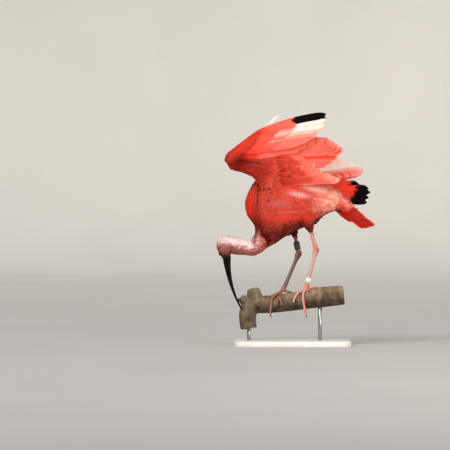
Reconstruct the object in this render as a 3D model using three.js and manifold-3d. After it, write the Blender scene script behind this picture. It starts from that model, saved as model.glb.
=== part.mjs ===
// A life-size scarlet ibis, stooping on a cut length of branch that a plain display stand holds up.
// The bird faces -X, its left side is towards -Y, and +Z is up. Lengths are millimetres.
// The origin is the middle of the stand's underside.
// A place on the bird is written as (x, z) seen from its left side, with y, the depth, given beside it.
import * as THREE from "three";
import { mergeVertices } from "three/addons/utils/BufferGeometryUtils.js";
import Module from "manifold-3d";

const wasm = await Module();
wasm.setup();

// Driving sizes
const GAP = 0.3; // between pieces that touch
const BASE = { length: 300, depth: 190, height: 14, centreX: 6, corner: 22 };
const ROD = { radius: 5, left: -107, right: 78, sides: 16 };
const TARSUS = 95;
const BILL = { length: 145, bend: 40, baseDepth: 11.6, baseWidth: 9.8, tip: 2.5 };
const HEAD_ROLL = 52; // the crown is turned this far from the camera's side
const EYE_RADIUS = 5.4;
const VANE_THICKNESS = 0.8;
const RANK = 1.15; // from one tail feather to the next, measured through the tail
const RED = 0xe8331f;

const V = (x, y, z) => new THREE.Vector3(x, y, z);
const rad = THREE.MathUtils.degToRad;

// Solids

// A closed body from corner points and triangles, turned to face out.
function closed(points, triangles) {
  const vertProperties = new Float32Array(points.flatMap((p) => [p.x, p.y, p.z]));
  const make = (list) =>
    new wasm.Manifold(new wasm.Mesh({ numProp: 3, vertProperties, triVerts: new Uint32Array(list.flat()) }));
  const solid = make(triangles);
  return solid.volume() > 0 ? solid : make(triangles.map(([a, b, c]) => [a, c, b]));
}

// A closed three.js geometry as a solid.
function fromGeometry(geometry) {
  const bare = geometry.clone();
  bare.deleteAttribute("normal");
  bare.deleteAttribute("uv");
  const merged = mergeVertices(bare, 1e-4);
  const place = merged.attributes.position;
  const points = Array.from({ length: place.count }, (_, i) => V(0, 0, 0).fromBufferAttribute(place, i));
  const index = merged.index.array;
  const triangles = [];
  for (let i = 0; i < index.length; i += 3) triangles.push([index[i], index[i + 1], index[i + 2]]);
  return closed(points, triangles);
}

const largest = (solid) => solid.decompose().reduce((a, b) => (b.volume() > a.volume() ? b : a));
const fuse = (solids) => largest(wasm.Manifold.union(solids));
// What is left of a solid where its neighbour, made larger by the gap, stands in it.
const meet = (solid, ...grownNeighbours) =>
  largest(grownNeighbours.reduce((left, neighbour) => left.subtract(neighbour), solid));

// Sections {at, up, side}: a centre and the two half axes of an ellipse. They are joined smoothly
// into one tube with closed ends, made larger all over by grow.
function loft(sections, { along = 4, around = 16, grow = 0 } = {}) {
  const curves = ["at", "up", "side"].map(
    (key) => new THREE.CatmullRomCurve3(sections.map((s) => s[key]), false, "centripetal"),
  );
  const rings = (sections.length - 1) * along + 1;
  const points = [];
  for (let i = 0; i < rings; i++) {
    // A curve's own parameter, so that each section is met where it stands.
    const [at, up, side] = curves.map((curve) => curve.getPoint(i / (rings - 1)));
    up.setLength(up.length() + grow);
    side.setLength(side.length() + grow);
    if (grow && (i === 0 || i === rings - 1)) {
      const inner = curves[0].getPoint(i ? 1 - 1e-3 : 1e-3);
      at.add(at.clone().sub(inner).setLength(grow));
    }
    for (let j = 0; j < around; j++) {
      const angle = (2 * Math.PI * j) / around;
      points.push(at.clone().addScaledVector(up, Math.cos(angle)).addScaledVector(side, Math.sin(angle)));
    }
  }
  const triangles = [];
  const ring = (i, j) => i * around + (j % around);
  for (let i = 0; i + 1 < rings; i++)
    for (let j = 0; j < around; j++) {
      triangles.push([ring(i, j), ring(i, j + 1), ring(i + 1, j + 1)]);
      triangles.push([ring(i, j), ring(i + 1, j + 1), ring(i + 1, j)]);
    }
  for (let j = 1; j + 1 < around; j++) {
    triangles.push([ring(0, 0), ring(0, j + 1), ring(0, j)]);
    triangles.push([ring(rings - 1, 0), ring(rings - 1, j), ring(rings - 1, j + 1)]);
  }
  return closed(points, triangles);
}

// Sections of a limb from points [x, y, z, half depth, half width], turned to follow the limb.
function limb(rows, sideHint = V(0, 1, 0)) {
  const spots = rows.map(([x, y, z]) => V(x, y, z));
  return rows.map(([, , , depth, width = depth], i) => {
    const before = spots[Math.max(0, i - 1)];
    const after = spots[Math.min(rows.length - 1, i + 1)];
    const forward = after.clone().sub(before).normalize();
    const up = forward.clone().cross(sideHint).normalize();
    const side = up.clone().cross(forward).normalize();
    return { at: spots[i], up: up.multiplyScalar(depth), side: side.multiplyScalar(width) };
  });
}

// A feather's vane: a thin plate from root to tip, widest past its middle. It bows towards normal,
// and sweeps sideways in its own plane.
// Front and back are split into triangles alike. outline holds [share of length, share of width].
const PRIMARY_OUTLINE = [[0, 0.3], [0.22, 0.75], [0.55, 1], [0.86, 0.86], [1, 0.3]];
const FLIGHT_OUTLINE = [[0, 0.35], [0.4, 0.95], [0.86, 0.9], [1, 0.35]];
const COVERT_OUTLINE = [[0, 0.4], [0.4, 0.95], [0.85, 0.85], [1, 0.3]];
function vane({ root, tip, normal, width, bow = 0, sweep = 0, tilt = 0, outline = FLIGHT_OUTLINE }) {
  const line = tip.clone().sub(root);
  const forward = line.clone().normalize();
  const side = forward.clone().cross(normal).normalize().applyAxisAngle(forward, rad(tilt));
  const face = side.clone().cross(forward).normalize();
  const half = VANE_THICKNESS / 2;
  const points = outline.flatMap(([t, share]) => {
    const middle = root
      .clone()
      .addScaledVector(line, t)
      .addScaledVector(normal, bow * line.length() * t * t)
      .addScaledVector(side, -sweep * line.length() * 4 * t * (1 - t));
    const reach = (share * width) / 2;
    return [[-1, 1], [1, 1], [1, -1], [-1, -1]].map(([s, f]) =>
      middle.clone().addScaledVector(side, s * reach).addScaledVector(face, f * half),
    );
  });
  const triangles = [];
  for (let i = 0; i + 1 < outline.length; i++) {
    const [a, b, c, d] = [0, 1, 2, 3].map((k) => 4 * i + k);
    const [e, f, g, h] = [0, 1, 2, 3].map((k) => 4 * (i + 1) + k);
    triangles.push([a, f, b], [a, e, f], [d, c, g], [d, g, h]);
    triangles.push([b, f, g], [b, g, c], [a, d, h], [a, h, e]);
  }
  const end = 4 * (outline.length - 1);
  triangles.push([0, 1, 2], [0, 2, 3], [end, end + 2, end + 1], [end, end + 3, end + 2]);
  return closed(points, triangles);
}

// A row of vanes in a wing's plane, from places on one curve to places on another. The level is how
// far towards the underside each lies, from the first vane to the last.
function tier(plane, { count, roots, tips, level, lift = 0, ...shape }) {
  return Array.from({ length: count }, (_, i) => {
    const share = i / (count - 1);
    const under = THREE.MathUtils.lerp(level[0], level[1], share);
    return vane({
      root: plane.spot(roots.getPoint(share), under),
      tip: plane.spot(tips.getPoint(share), under + lift),
      normal: plane.normal,
      ...shape,
    });
  });
}

// A curve through places (x, z), read by even shares of its length or, for two, a straight line.
const through = (...places) => {
  const curve = new THREE.SplineCurve(places.map(([x, z]) => new THREE.Vector2(x, z)));
  return { getPoint: (share) => curve.getPointAt(share) };
};

// Torso: [dorsal x, z], [ventral x, z], half width
const TORSO = [
  [[-95, 318], [-62, 246], 24],
  [[-112, 341], [-37, 261], 40],
  [[-117, 378], [-18, 274], 52],
  [[-96, 425], [0, 284], 60],
  [[-52, 443], [26, 299], 63],
  [[0, 447], [57, 308], 60],
  [[52, 440], [78, 325], 50],
  [[107, 420], [99, 339], 35],
  [[131, 401], [123, 349], 23],
];
const torsoSections = TORSO.map(([[dx, dz], [vx, vz], halfWidth]) => ({
  at: V((dx + vx) / 2, 0, (dz + vz) / 2),
  up: V((dx - vx) / 2, 0, (dz - vz) / 2),
  side: V(0, halfWidth, 0),
}));
const torsoBody = (grow = 0) => loft(torsoSections, { along: 2, around: 22, grow });

// Neck: one bent tube, parted in its middle
const NECK = [
  [-64, 0, 312, 30, 27],
  [-70, 0, 284, 24.5, 26],
  [-82, 0, 265, 23.5, 24.5],
  [-98, 1, 254, 22.5, 22.5],
  [-117, 1, 254.5, 21.3, 21.3],
  [-141, 1, 258, 24, 18.5],
  [-155, 3, 265, 20, 16],
  [-166, 6, 269, 16, 14],
  [-174, 8, 271, 10, 10],
];
const neckSections = limb(NECK);
const neckBody = (grow = 0) => loft(neckSections, { along: 2, around: 14, grow });
const NECK_CUT = { at: V(-108, 0, 254), normal: V(-1, 0, 0.05).normalize() };

// Head: its own frame looks down the bill, with the crown turned away from the camera
const forward = V(0.07, 0, -1).normalize();
const crown = V(-1, 0, -0.07).normalize().applyAxisAngle(forward, rad(HEAD_ROLL));
const leftward = V(0, -1, 0).applyAxisAngle(forward, rad(HEAD_ROLL));
// [x, y, z, half depth, half width] from the nape to the bill
const HEAD = [
  [-168, 8, 285, 9.5, 9.5],
  [-171, 8, 277, 17, 15],
  [-172.5, 8, 262, 21.5, 18],
  [-171, 8, 248, 20, 16.8],
  [-168.5, 8, 238, 16.8, 14.4],
  [-166, 8, 229.5, 13.8, 11.6],
  [-164.5, 8, 224, 12.6, 10.7],
];
const headSections = HEAD.map(([x, y, z, depth, width]) => ({
  at: V(x, y, z),
  up: crown.clone().multiplyScalar(depth),
  side: leftward.clone().multiplyScalar(width),
}));
const headBody = (grow = 0) => loft(headSections, { along: 2, around: 14, grow });
// A place in the head, from a spot on its middle line, by distances towards the crown and the left.
const inHead = (x, z, up, left) => V(x, 8, z).addScaledVector(crown, up).addScaledVector(leftward, left);
const EYE = { x: -168.5, z: 240, up: 6, out: 9.8 };
const eyeCentre = (side) => inHead(EYE.x, EYE.z, EYE.up, side * EYE.out);
const ball = (centre, radius, width = 12, height = 8) =>
  fromGeometry(new THREE.SphereGeometry(radius, width, height)).translate(centre.toArray());
// The bare lid: a ring round the eye, lying on the side of the head.
function lid(side) {
  const ring = new THREE.TorusGeometry(EYE_RADIUS - 0.2, 1.3, 6, 14);
  const facing = leftward.clone().multiplyScalar(side);
  ring.applyQuaternion(new THREE.Quaternion().setFromUnitVectors(V(0, 0, 1), facing));
  const middle = eyeCentre(side).addScaledVector(facing, 3);
  return fromGeometry(ring.translate(middle.x, middle.y, middle.z));
}

// Bill: a circular arc from the face, thinning to the tip and bent towards the throat
const billBase = V(-164.5, 8, 226);
function billPlace(share) {
  const turn = rad(BILL.bend) * share;
  const radius = BILL.length / rad(BILL.bend);
  const at = billBase
    .clone()
    .addScaledVector(forward, radius * Math.sin(turn))
    .addScaledVector(crown, -radius * (1 - Math.cos(turn)));
  const up = crown.clone().multiplyScalar(Math.cos(turn)).addScaledVector(forward, Math.sin(turn));
  return { at, up };
}
const BILL_SHARES = [-0.08, 0, 0.08, 0.2, 0.36, 0.56, 0.78, 0.94, 1];
const billHalfDepth = (share) =>
  BILL.tip + (BILL.baseDepth - BILL.tip) * Math.pow(1 - THREE.MathUtils.clamp(share, 0, 1), 2);
const billHalfWidth = (share) => billHalfDepth(share) * (BILL.baseWidth / BILL.baseDepth);
function billBody() {
  const sections = BILL_SHARES.map((share) => {
    const { at, up } = billPlace(share);
    const close = share === 1 ? 0.45 : 1;
    return {
      at,
      up: up.multiplyScalar(billHalfDepth(share) * close),
      side: leftward.clone().multiplyScalar(billHalfWidth(share) * close),
    };
  });
  return loft(sections, { along: 2, around: 12 });
}
// The gape: a thin sheet along the bill, just under its middle, that parts the two mandibles.
function gapeSheet() {
  const sections = [-0.2, 0, 0.25, 0.5, 0.75, 1.08].map((share) => {
    const { at, up } = billPlace(share);
    const drop = -0.16 * billHalfDepth(share);
    return {
      at: at.addScaledVector(up, drop),
      up: up.multiplyScalar(GAP / 2),
      side: leftward.clone().multiplyScalar(30),
    };
  });
  return loft(sections, { along: 2, around: 4 });
}
// A nostril: a narrow slot in the side of the upper mandible, near the face.
function nostril(side) {
  const slot = new THREE.SphereGeometry(1, 10, 8);
  const { at, up } = billPlace(0.1);
  const along = up.clone().cross(leftward).normalize();
  slot.applyMatrix4(
    new THREE.Matrix4().makeBasis(
      along.clone().multiplyScalar(5.5),
      up.clone().multiplyScalar(1.1),
      leftward.clone().multiplyScalar(1.6),
    ),
  );
  const place = at.addScaledVector(up, 0.42 * billHalfDepth(0.1)).addScaledVector(leftward, side * 8.2);
  return fromGeometry(slot.translate(place.x, place.y, place.z));
}

// Tail: a cone of covert plumage and a fan of twelve feathers, rolled so that its far edge is up
const TAIL = { root: V(124, 0, 374), axis: V(0.755, -0.26, -0.6).normalize(), length: 113, roll: 40 };
const FAN = { count: 12, spread: 8.5, width: 22 };
const tailAcross = V(0, 1, 0).applyAxisAngle(TAIL.axis, rad(TAIL.roll));
const tailUnder = tailAcross.clone().cross(TAIL.axis).normalize();
function tailCone(grow = 0) {
  // [distance along, half depth, half width]
  const rows = [[-10, 19, 16], [4, 24.5, 21], [26, 20, 20], [44, 13, 17], [60, 5, 11]];
  const blend = (share) => V(0, 1, 0).applyAxisAngle(TAIL.axis, rad(TAIL.roll * share));
  const sections = rows.map(([distance, depth, width], i) => {
    const side = blend(i / (rows.length - 1));
    const up = side.clone().cross(TAIL.axis).normalize();
    const at = TAIL.root.clone().addScaledVector(TAIL.axis, distance);
    return { at, up: up.multiplyScalar(depth), side: side.multiplyScalar(width) };
  });
  return loft(sections, { along: 2, around: 14, grow });
}
function tailFan() {
  return Array.from({ length: FAN.count }, (_, i) => {
    const share = (2 * i) / (FAN.count - 1) - 1; // from -1, the near edge, to 1
    const direction = TAIL.axis.clone().applyAxisAngle(tailUnder, -rad(FAN.spread * share));
    // The middle pair lies uppermost
    const level = 3.5 - RANK * (1 - Math.abs(share)) * (FAN.count / 2);
    const root = TAIL.root
      .clone()
      .addScaledVector(tailAcross, share * 6)
      .addScaledVector(tailUnder, level);
    const tip = root.clone().addScaledVector(direction, TAIL.length * (1 - 0.07 * share * share));
    return vane({ root, tip, normal: tailUnder.clone().negate(), width: FAN.width, bow: 0.03 });
  });
}

// Wings: each lies in a leaning plane. spot() takes (x, z) seen from the left and a distance
// towards the underside, which faces the camera on both wings.
function wingPlane(y, z, lean) {
  const slope = Math.tan(rad(lean));
  const normal = V(0, -Math.cos(rad(lean)), -Math.sin(rad(lean)));
  return {
    normal,
    spot: (place, under) => V(place.x, y - (place.y - z) * slope, place.y).addScaledVector(normal, under),
  };
}
const at2 = (x, z) => new THREE.Vector2(x, z);

// The near wing is lifted over the back, half folded. The far one is loosely folded at the flank.
// Feathers run from the wrist outwards in the hand, and from the wrist to the elbow in the arm.
const WINGS = {
  left: {
    plane: wingPlane(-46, 391, 13),
    tilt: -7,
    sweep: 0.03,
    shoulder: V(-64, -38, 384),
    overHandCoverts: 4,
    elbow: at2(-36, 484),
    wrist: at2(-156, 485),
    handTip: at2(-80, 554),
    web: [
      [-92, 400], [-96, 432], [-124, 446], [-158, 458], [-151, 489], [-30, 492], [2, 470], [4, 420], [-20, 396],
    ],
    primaryRoots: through([-152, 497], [-120, 524], [-84, 556]),
    primaryTips: through([21, 528], [52, 541], [80, 560], [96, 584], [90, 600]),
    secondaryRoots: through([-140, 489], [-46, 490]),
    secondaryTips: through([23, 512], [60, 528], [92, 532], [118, 522], [138, 506]),
    tertialRoots: through([-42, 482], [-38, 462]),
    tertialTips: through([126, 492], [112, 482], [96, 472]),
    axillaryRoots: through([-30, 446], [-12, 418]),
    axillaryTips: through([61, 466], [86, 448], [108, 436], [130, 430]),
    handCovertTips: through([-40, 512], [-14, 538], [12, 572]),
    armCovertTips: through([-52, 492], [-10, 494], [44, 492]),
  },
  right: {
    plane: wingPlane(79, 391, 20),
    tilt: 7,
    sweep: -0.01,
    shoulder: V(-62, 26, 428),
    overHandCoverts: 0, // the folded arm lies over them
    elbow: at2(26, 430),
    wrist: at2(-74, 402),
    handTip: at2(20, 388),
    web: [[-84, 394], [-86, 408], [-60, 424], [24, 440], [40, 424], [16, 404], [-40, 396]],
    primaryRoots: through([-66, 397], [-22, 393], [18, 388]),
    primaryTips: through([120, 415], [164, 425], [190, 419], [216, 402], [204, 375]),
    secondaryRoots: through([-62, 404], [18, 426]),
    secondaryTips: through([110, 430], [150, 437], [188, 441], [196, 452]),
    tertialRoots: through([22, 430], [6, 434]),
    tertialTips: through([176, 460], [161, 468], [138, 475]),
    axillaryRoots: through([0, 420], [14, 414]),
    axillaryTips: through([78, 434], [96, 424]),
    handCovertTips: through([10, 402], [60, 402], [104, 388]),
    armCovertTips: through([20, 418], [60, 432], [100, 444]),
  },
};
// Levels of the first and last feather of each tier, towards the underside
const LEVELS = {
  primaries: [0.4, 8],
  secondaries: [-7, -14.6],
  tertials: [-15.6, -18.2],
  axillaries: [-9.4, -7],
};
const HAND_LEVEL = 5; // the middle of the hand's flesh
const ARM_LEVEL = -11.5; // the middle of the arm's flesh
const COVERT_STEP = 2.1; // from a flight feather to the covert over its root

function handBody(wing, grow = 0) {
  const wrist = wing.plane.spot(wing.wrist, HAND_LEVEL);
  const end = wing.plane.spot(wing.handTip, HAND_LEVEL);
  const across = end.clone().sub(wrist).normalize().cross(wing.plane.normal).normalize();
  // [share along, half breadth in the plane, half thickness]
  const rows = [[-0.14, 9, 6], [0, 17, 10], [0.3, 16, 9], [0.7, 12, 8], [1, 8, 6.5], [1.12, 3, 3]];
  const sections = rows.map(([share, breadth, thickness]) => ({
    at: wrist.clone().lerp(end, share),
    up: across.clone().multiplyScalar(breadth),
    side: wing.plane.normal.clone().multiplyScalar(thickness),
  }));
  return loft(sections, { along: 2, around: 8, grow });
}

function armBody(wing) {
  const elbow = wing.plane.spot(wing.elbow, ARM_LEVEL);
  const wrist = wing.plane.spot(wing.wrist, ARM_LEVEL);
  const upper = [wing.shoulder, wing.shoulder.clone().lerp(elbow, 0.5), elbow];
  const bone = (spots, sizes) =>
    spots.map((at, i) => {
      const along = spots[Math.min(i + 1, spots.length - 1)].clone().sub(spots[Math.max(0, i - 1)]).normalize();
      const across = along.clone().cross(wing.plane.normal).normalize();
      return {
        at,
        up: across.multiplyScalar(sizes[i][0]),
        side: wing.plane.normal.clone().multiplyScalar(sizes[i][1]),
      };
    });
  const past = elbow.clone().lerp(wrist, -0.1);
  const fore = [past, elbow, elbow.clone().lerp(wrist, 0.5), wrist];
  return [
    loft(bone(upper, [[20, 12], [17, 10], [13, 9]]), { along: 2, around: 8 }),
    loft(bone(fore, [[6, 5], [13, 9], [14, 8], [12, 7]]), { along: 2, around: 8 }),
  ];
}

// The web of skin and small plumage between body, elbow and wrist: a thick plate with a round edge.
function webBody(wing) {
  const shape = new THREE.Shape(wing.web.map(([x, z]) => at2(x, z)));
  const plate = new THREE.ExtrudeGeometry(shape, {
    depth: 6,
    steps: 1,
    bevelEnabled: true,
    bevelThickness: 2.5,
    bevelSize: 3,
    bevelSegments: 1,
  });
  const place = plate.attributes.position;
  for (let i = 0; i < place.count; i++) {
    const spot = wing.plane.spot(at2(place.getX(i), place.getY(i)), place.getZ(i) - 3 + ARM_LEVEL);
    place.setXYZ(i, spot.x, spot.y, spot.z);
  }
  return fromGeometry(plate);
}

const shifted = (level, by) => level.map((x) => x + by);
function handFeathers({ plane, tilt, primaryRoots, primaryTips, ...wing }) {
  const flight = { roots: primaryRoots, tips: primaryTips, level: LEVELS.primaries, tilt, bow: 0.012 };
  const covert = { roots: primaryRoots, tips: wing.handCovertTips, tilt, outline: COVERT_OUTLINE, width: 26 };
  return [
    ...tier(plane, { ...flight, count: 10, width: 23, outline: PRIMARY_OUTLINE, sweep: wing.sweep }),
    ...tier(plane, { ...covert, count: 4, level: shifted(LEVELS.primaries, COVERT_STEP) }),
    ...tier(plane, { ...covert, count: wing.overHandCoverts, level: shifted(LEVELS.primaries, -COVERT_STEP) }),
  ];
}
function armFeathers({ plane, tilt, secondaryRoots, secondaryTips, ...wing }) {
  const flight = { roots: secondaryRoots, tips: secondaryTips, level: LEVELS.secondaries, tilt, bow: 0.012 };
  const covert = { roots: secondaryRoots, tips: wing.armCovertTips, tilt, outline: COVERT_OUTLINE, width: 26 };
  return [
    ...tier(plane, { ...flight, count: 10, width: 25 }),
    ...tier(plane, { ...covert, count: 4, level: shifted(LEVELS.secondaries, COVERT_STEP) }),
    ...tier(plane, { ...covert, count: 4, level: shifted(LEVELS.secondaries, -COVERT_STEP) }),
    ...tier(plane, {
      count: 4,
      roots: wing.tertialRoots,
      tips: wing.tertialTips,
      level: LEVELS.tertials,
      tilt,
      width: 26,
    }),
    ...tier(plane, {
      count: 4,
      roots: wing.axillaryRoots,
      tips: wing.axillaryTips,
      level: LEVELS.axillaries,
      lift: 5,
      tilt,
      width: 22,
    }),
  ];
}
const handOf = (wing) => fuse([handBody(wing), ...handFeathers(wing)]);
const armOf = (wing) => fuse([...armBody(wing), webBody(wing), ...armFeathers(wing)]);

// Branch: [x, z, radius] along its level run, then down its bent end
const BRANCH_RUN = [
  [140, 131, 25], [91, 126, 26.5], [42, 119, 24.5], [0, 113, 24], [-52, 107, 23], [-98, 107, 23.5],
];
const BRANCH_DROP = [[-84, 112, 20], [-98, 104, 23.5], [-109, 86, 23], [-110, 64, 22], [-107, 44, 21.5]];
const BRANCH_STUB = [[-88, 104, 21], [-92, 124, 20.5], [-94, 140, 18], [-95, 150, 9]];
const BRANCH_TWIG = [[-98, 101, 15], [-112, 112, 15], [-129, 125, 9.5]];
const branchRun = (rows, grow) =>
  loft(
    limb(rows.map(([x, z, radius]) => [x, 0, z, radius])),
    { along: 2, around: 14, grow },
  );
const BRANCHES = [BRANCH_RUN, BRANCH_DROP, BRANCH_STUB, BRANCH_TWIG];
const perchBody = (grow = 0) => fuse(BRANCHES.map((rows) => branchRun(rows, grow)));

// The height and radius of the branch's level run at x.
function branchAt(x) {
  const next = BRANCH_RUN.findIndex(([px]) => px <= x);
  const [a, b] = [BRANCH_RUN[next - 1], BRANCH_RUN[next]];
  const share = (x - a[0]) / (b[0] - a[0]);
  return { z: a[1] + share * (b[1] - a[1]), radius: a[2] + share * (b[2] - a[2]) };
}

// A toe's path: {x, turn} lies on the branch, turned from its top towards the camera, and {x, z}
// hangs down its near side.
function toePlace({ x, turn, z }, radius) {
  const branch = branchAt(x);
  const reach = branch.radius + radius + GAP;
  if (z !== undefined) return V(x, -reach, z);
  return V(x, -reach * Math.sin(rad(turn)), branch.z + reach * Math.cos(rad(turn)));
}
function toe(hub, path, radius, grow) {
  const spots = [hub, ...path.map((step) => toePlace(step, radius * 0.8))];
  const last = spots.length - 1;
  const rows = spots.map((p, i) => {
    const thin = radius * (1 - 0.35 * (i / last));
    return [p.x, p.y, p.z, i === last ? 0.7 : thin];
  });
  return loft(limb(rows, V(0.35, 0.25, 0.9)), { along: 2, around: 7, grow });
}

const LEGS = {
  left: {
    thigh: [[14, -30, 372, 26, 22], [32, -33, 340, 24, 20], [47, -33, 312, 15, 13], [56, -32, 290, 6.2, 6.2]],
    shank: [[54, -32, 296, 5], [60, -30, 272, 4.8], [65, -28.5, 256, 6]],
    hock: V(66.5, -28, 247),
    hub: V(42, -5, 151),
    toes: [
      [{ x: 20, turn: 44 }, { x: 10, turn: 78 }, { x: 8, z: 106 }],
      [{ x: 36, turn: 36 }, { x: 33, turn: 68 }, { x: 36, z: 102 }, { x: 41, z: 82 }, { x: 43, z: 71 }],
      [{ x: 58, turn: 4 }, { x: 70, turn: -22 }, { x: 80, turn: -44 }, { x: 87, turn: -64 }],
      [{ x: 45, turn: -28 }, { x: 47, turn: -54 }, { x: 48, turn: -74 }],
    ],
  },
  right: {
    thigh: [[-16, 30, 352, 26, 22], [-4, 32, 322, 22, 18], [9, 31, 296, 13, 12], [17, 30, 273, 6.2, 6.2]],
    shank: [[15, 30.5, 279, 5], [20, 29, 258, 4.8], [22, 28.3, 246, 6]],
    hock: V(23, 28, 238),
    hub: V(-18, 3, 143),
    toes: [
      [{ x: -26, turn: 28 }, { x: -25, turn: 72 }, { x: -18, z: 96 }],
      [{ x: -33, turn: 22 }, { x: -46, turn: 50 }, { x: -50, z: 104 }, { x: -52, z: 86 }, { x: -48, z: 71 }],
      [{ x: -30, turn: -16 }, { x: -44, turn: -34 }, { x: -56, turn: -52 }, { x: -63, turn: -68 }],
      [{ x: -4, turn: -8 }, { x: 4, turn: -32 }, { x: 8, turn: -54 }],
    ],
  },
};
const TOE_RADII = [3.4, 3.8, 3.5, 3.2]; // inner, middle, outer and hind toe

const thighBody = (leg, grow = 0) => loft(limb(leg.thigh), { along: 2, around: 12, grow });
const shankBody = (leg, grow = 0) => loft(limb(leg.shank), { along: 2, around: 12, grow });
// The tarsus with its knobbed hock on top, down to just above the toes.
function tarsusBody(leg, grow = 0) {
  const low = leg.hub.clone().lerp(leg.hock, 9 / TARSUS);
  const spot = (share) => leg.hock.clone().lerp(low, share).toArray();
  const rows = [
    [...spot(-0.09), 5, 5],
    [...spot(0), 8.4, 6.8],
    [...spot(0.09), 7.4, 6.4],
    [...spot(0.2), 5.2, 4.6],
    [...spot(0.6), 4.8, 4.2],
    [...spot(0.9), 5.2, 4.8],
    [...spot(1), 5.8, 5.8],
  ];
  return loft(limb(rows), { along: 2, around: 12, grow });
}
function footBody(leg) {
  const top = leg.hub.clone().lerp(leg.hock, 12 / TARSUS).toArray();
  const pad = leg.hub.toArray();
  const ankle = loft(limb([[...top, 5.4], [...pad, 6.6], [pad[0], pad[1], pad[2] - 5, 4]]), { along: 2, around: 12 });
  return fuse([ankle, ...leg.toes.map((path, i) => toe(leg.hub, path, TOE_RADII[i], 0))]);
}

// A leg ring: a short tube round the leg, from one share of the way to another.
function ring(from, to, inner, outer) {
  const length = from.distanceTo(to);
  const profile = [[inner, 0], [outer, 0], [outer, length], [inner, length], [inner, 0]];
  const tube = new THREE.LatheGeometry(profile.map(([r, h]) => new THREE.Vector2(r, h)), 20);
  const along = to.clone().sub(from).normalize();
  tube.applyQuaternion(new THREE.Quaternion().setFromUnitVectors(V(0, 1, 0), along));
  return fromGeometry(tube.translate(from.x, from.y, from.z));
}

// Stand
function baseBody() {
  const [w, d, r] = [BASE.length / 2, BASE.depth / 2, BASE.corner];
  const shape = new THREE.Shape();
  shape.moveTo(-w + r, -d);
  shape.absarc(w - r, -d + r, r, -Math.PI / 2, 0);
  shape.absarc(w - r, d - r, r, 0, Math.PI / 2);
  shape.absarc(-w + r, d - r, r, Math.PI / 2, Math.PI);
  shape.absarc(-w + r, -d + r, r, Math.PI, 1.5 * Math.PI);
  const plate = new THREE.ExtrudeGeometry(shape, { depth: BASE.height, curveSegments: 5, bevelEnabled: false });
  return fromGeometry(plate.translate(BASE.centreX, 0, 0));
}
function rodBody(x, top) {
  const length = top - BASE.height - GAP;
  const rod = new THREE.CylinderGeometry(ROD.radius, ROD.radius, length, ROD.sides).rotateX(Math.PI / 2);
  return fromGeometry(rod.translate(x, 0, BASE.height + GAP + length / 2));
}

// Assembly: each piece is cut clear of what it grows from
const torso = torsoBody();
const torsoRoom = torsoBody(GAP);
const neckWhole = meet(neckBody(), torsoRoom);
const halfSpace = (solid, normal, offset) => largest(solid.trimByPlane(normal.toArray(), offset));
const cutAt = NECK_CUT.at.dot(NECK_CUT.normal);
const neckUpper = halfSpace(neckWhole, NECK_CUT.normal, cutAt + GAP / 2);
const neckLower = halfSpace(neckWhole, NECK_CUT.normal.clone().negate(), -cutAt + GAP / 2);
const eyes = { left: ball(eyeCentre(1), EYE_RADIUS), right: ball(eyeCentre(-1), EYE_RADIUS) };
const sockets = [1, -1].map((side) => ball(eyeCentre(side), EYE_RADIUS + GAP));
const head = meet(fuse([headBody(), lid(1), lid(-1)]), neckBody(GAP), ...sockets);
const mandibles = meet(billBody(), headBody(GAP)).subtract(gapeSheet()).decompose();
const crownward = (solid) => {
  const { min, max } = solid.boundingBox();
  return V((min[0] + max[0]) / 2, (min[1] + max[1]) / 2, 0).dot(crown);
};
const [billUpper, billLower] = mandibles
  .filter((m) => m.volume() > 100)
  .sort((a, b) => crownward(b) - crownward(a));
const perch = perchBody();
const perchRoom = perchBody(GAP);

const pieces = [];
const finishes = {
  plumage: [RED, 0.75],
  pale_plumage: [0xf0b4aa, 0.8],
  face: [0xd9604f, 0.55],
  horn: [0x1d1a19, 0.4],
  eye: [0x0c0b0d, 0.1],
  leg: [0xd67f78, 0.55],
  bark: [0x8d806a, 0.9],
  green_band: [0x1d3a2b, 0.45],
  white_band: [0xe8e6df, 0.45],
  stand: [0xf1f1ee, 0.5],
  steel: [0x9a9da0, 0.35],
};
function add(name, finish, solid) {
  const [color, roughness] = finishes[finish];
  const raw = solid.getMesh();
  const geometry = new THREE.BufferGeometry()
    .setAttribute("position", new THREE.BufferAttribute(Float32Array.from(raw.vertProperties), 3))
    .setIndex(new THREE.BufferAttribute(Uint32Array.from(raw.triVerts), 1));
  geometry.computeVertexNormals();
  const metalness = finish === "steel" ? 1 : 0;
  const mesh = new THREE.Mesh(geometry, new THREE.MeshStandardMaterial({ color, roughness, metalness }));
  mesh.name = name;
  pieces.push(mesh);
}

add("torso", "plumage", torso);
add("neck_lower", "pale_plumage", neckLower);
add("neck_upper", "pale_plumage", neckUpper);
add("head", "face", head);
add("eye_left", "eye", eyes.left);
add("eye_right", "eye", eyes.right);
add("bill_upper", "horn", nostrilCut(billUpper));
add("bill_lower", "horn", billLower);
add("tail", "plumage", meet(fuse([tailCone(), ...tailFan()]), torsoRoom));

function nostrilCut(solid) {
  return largest(solid.subtract(nostril(1)).subtract(nostril(-1)));
}

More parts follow.
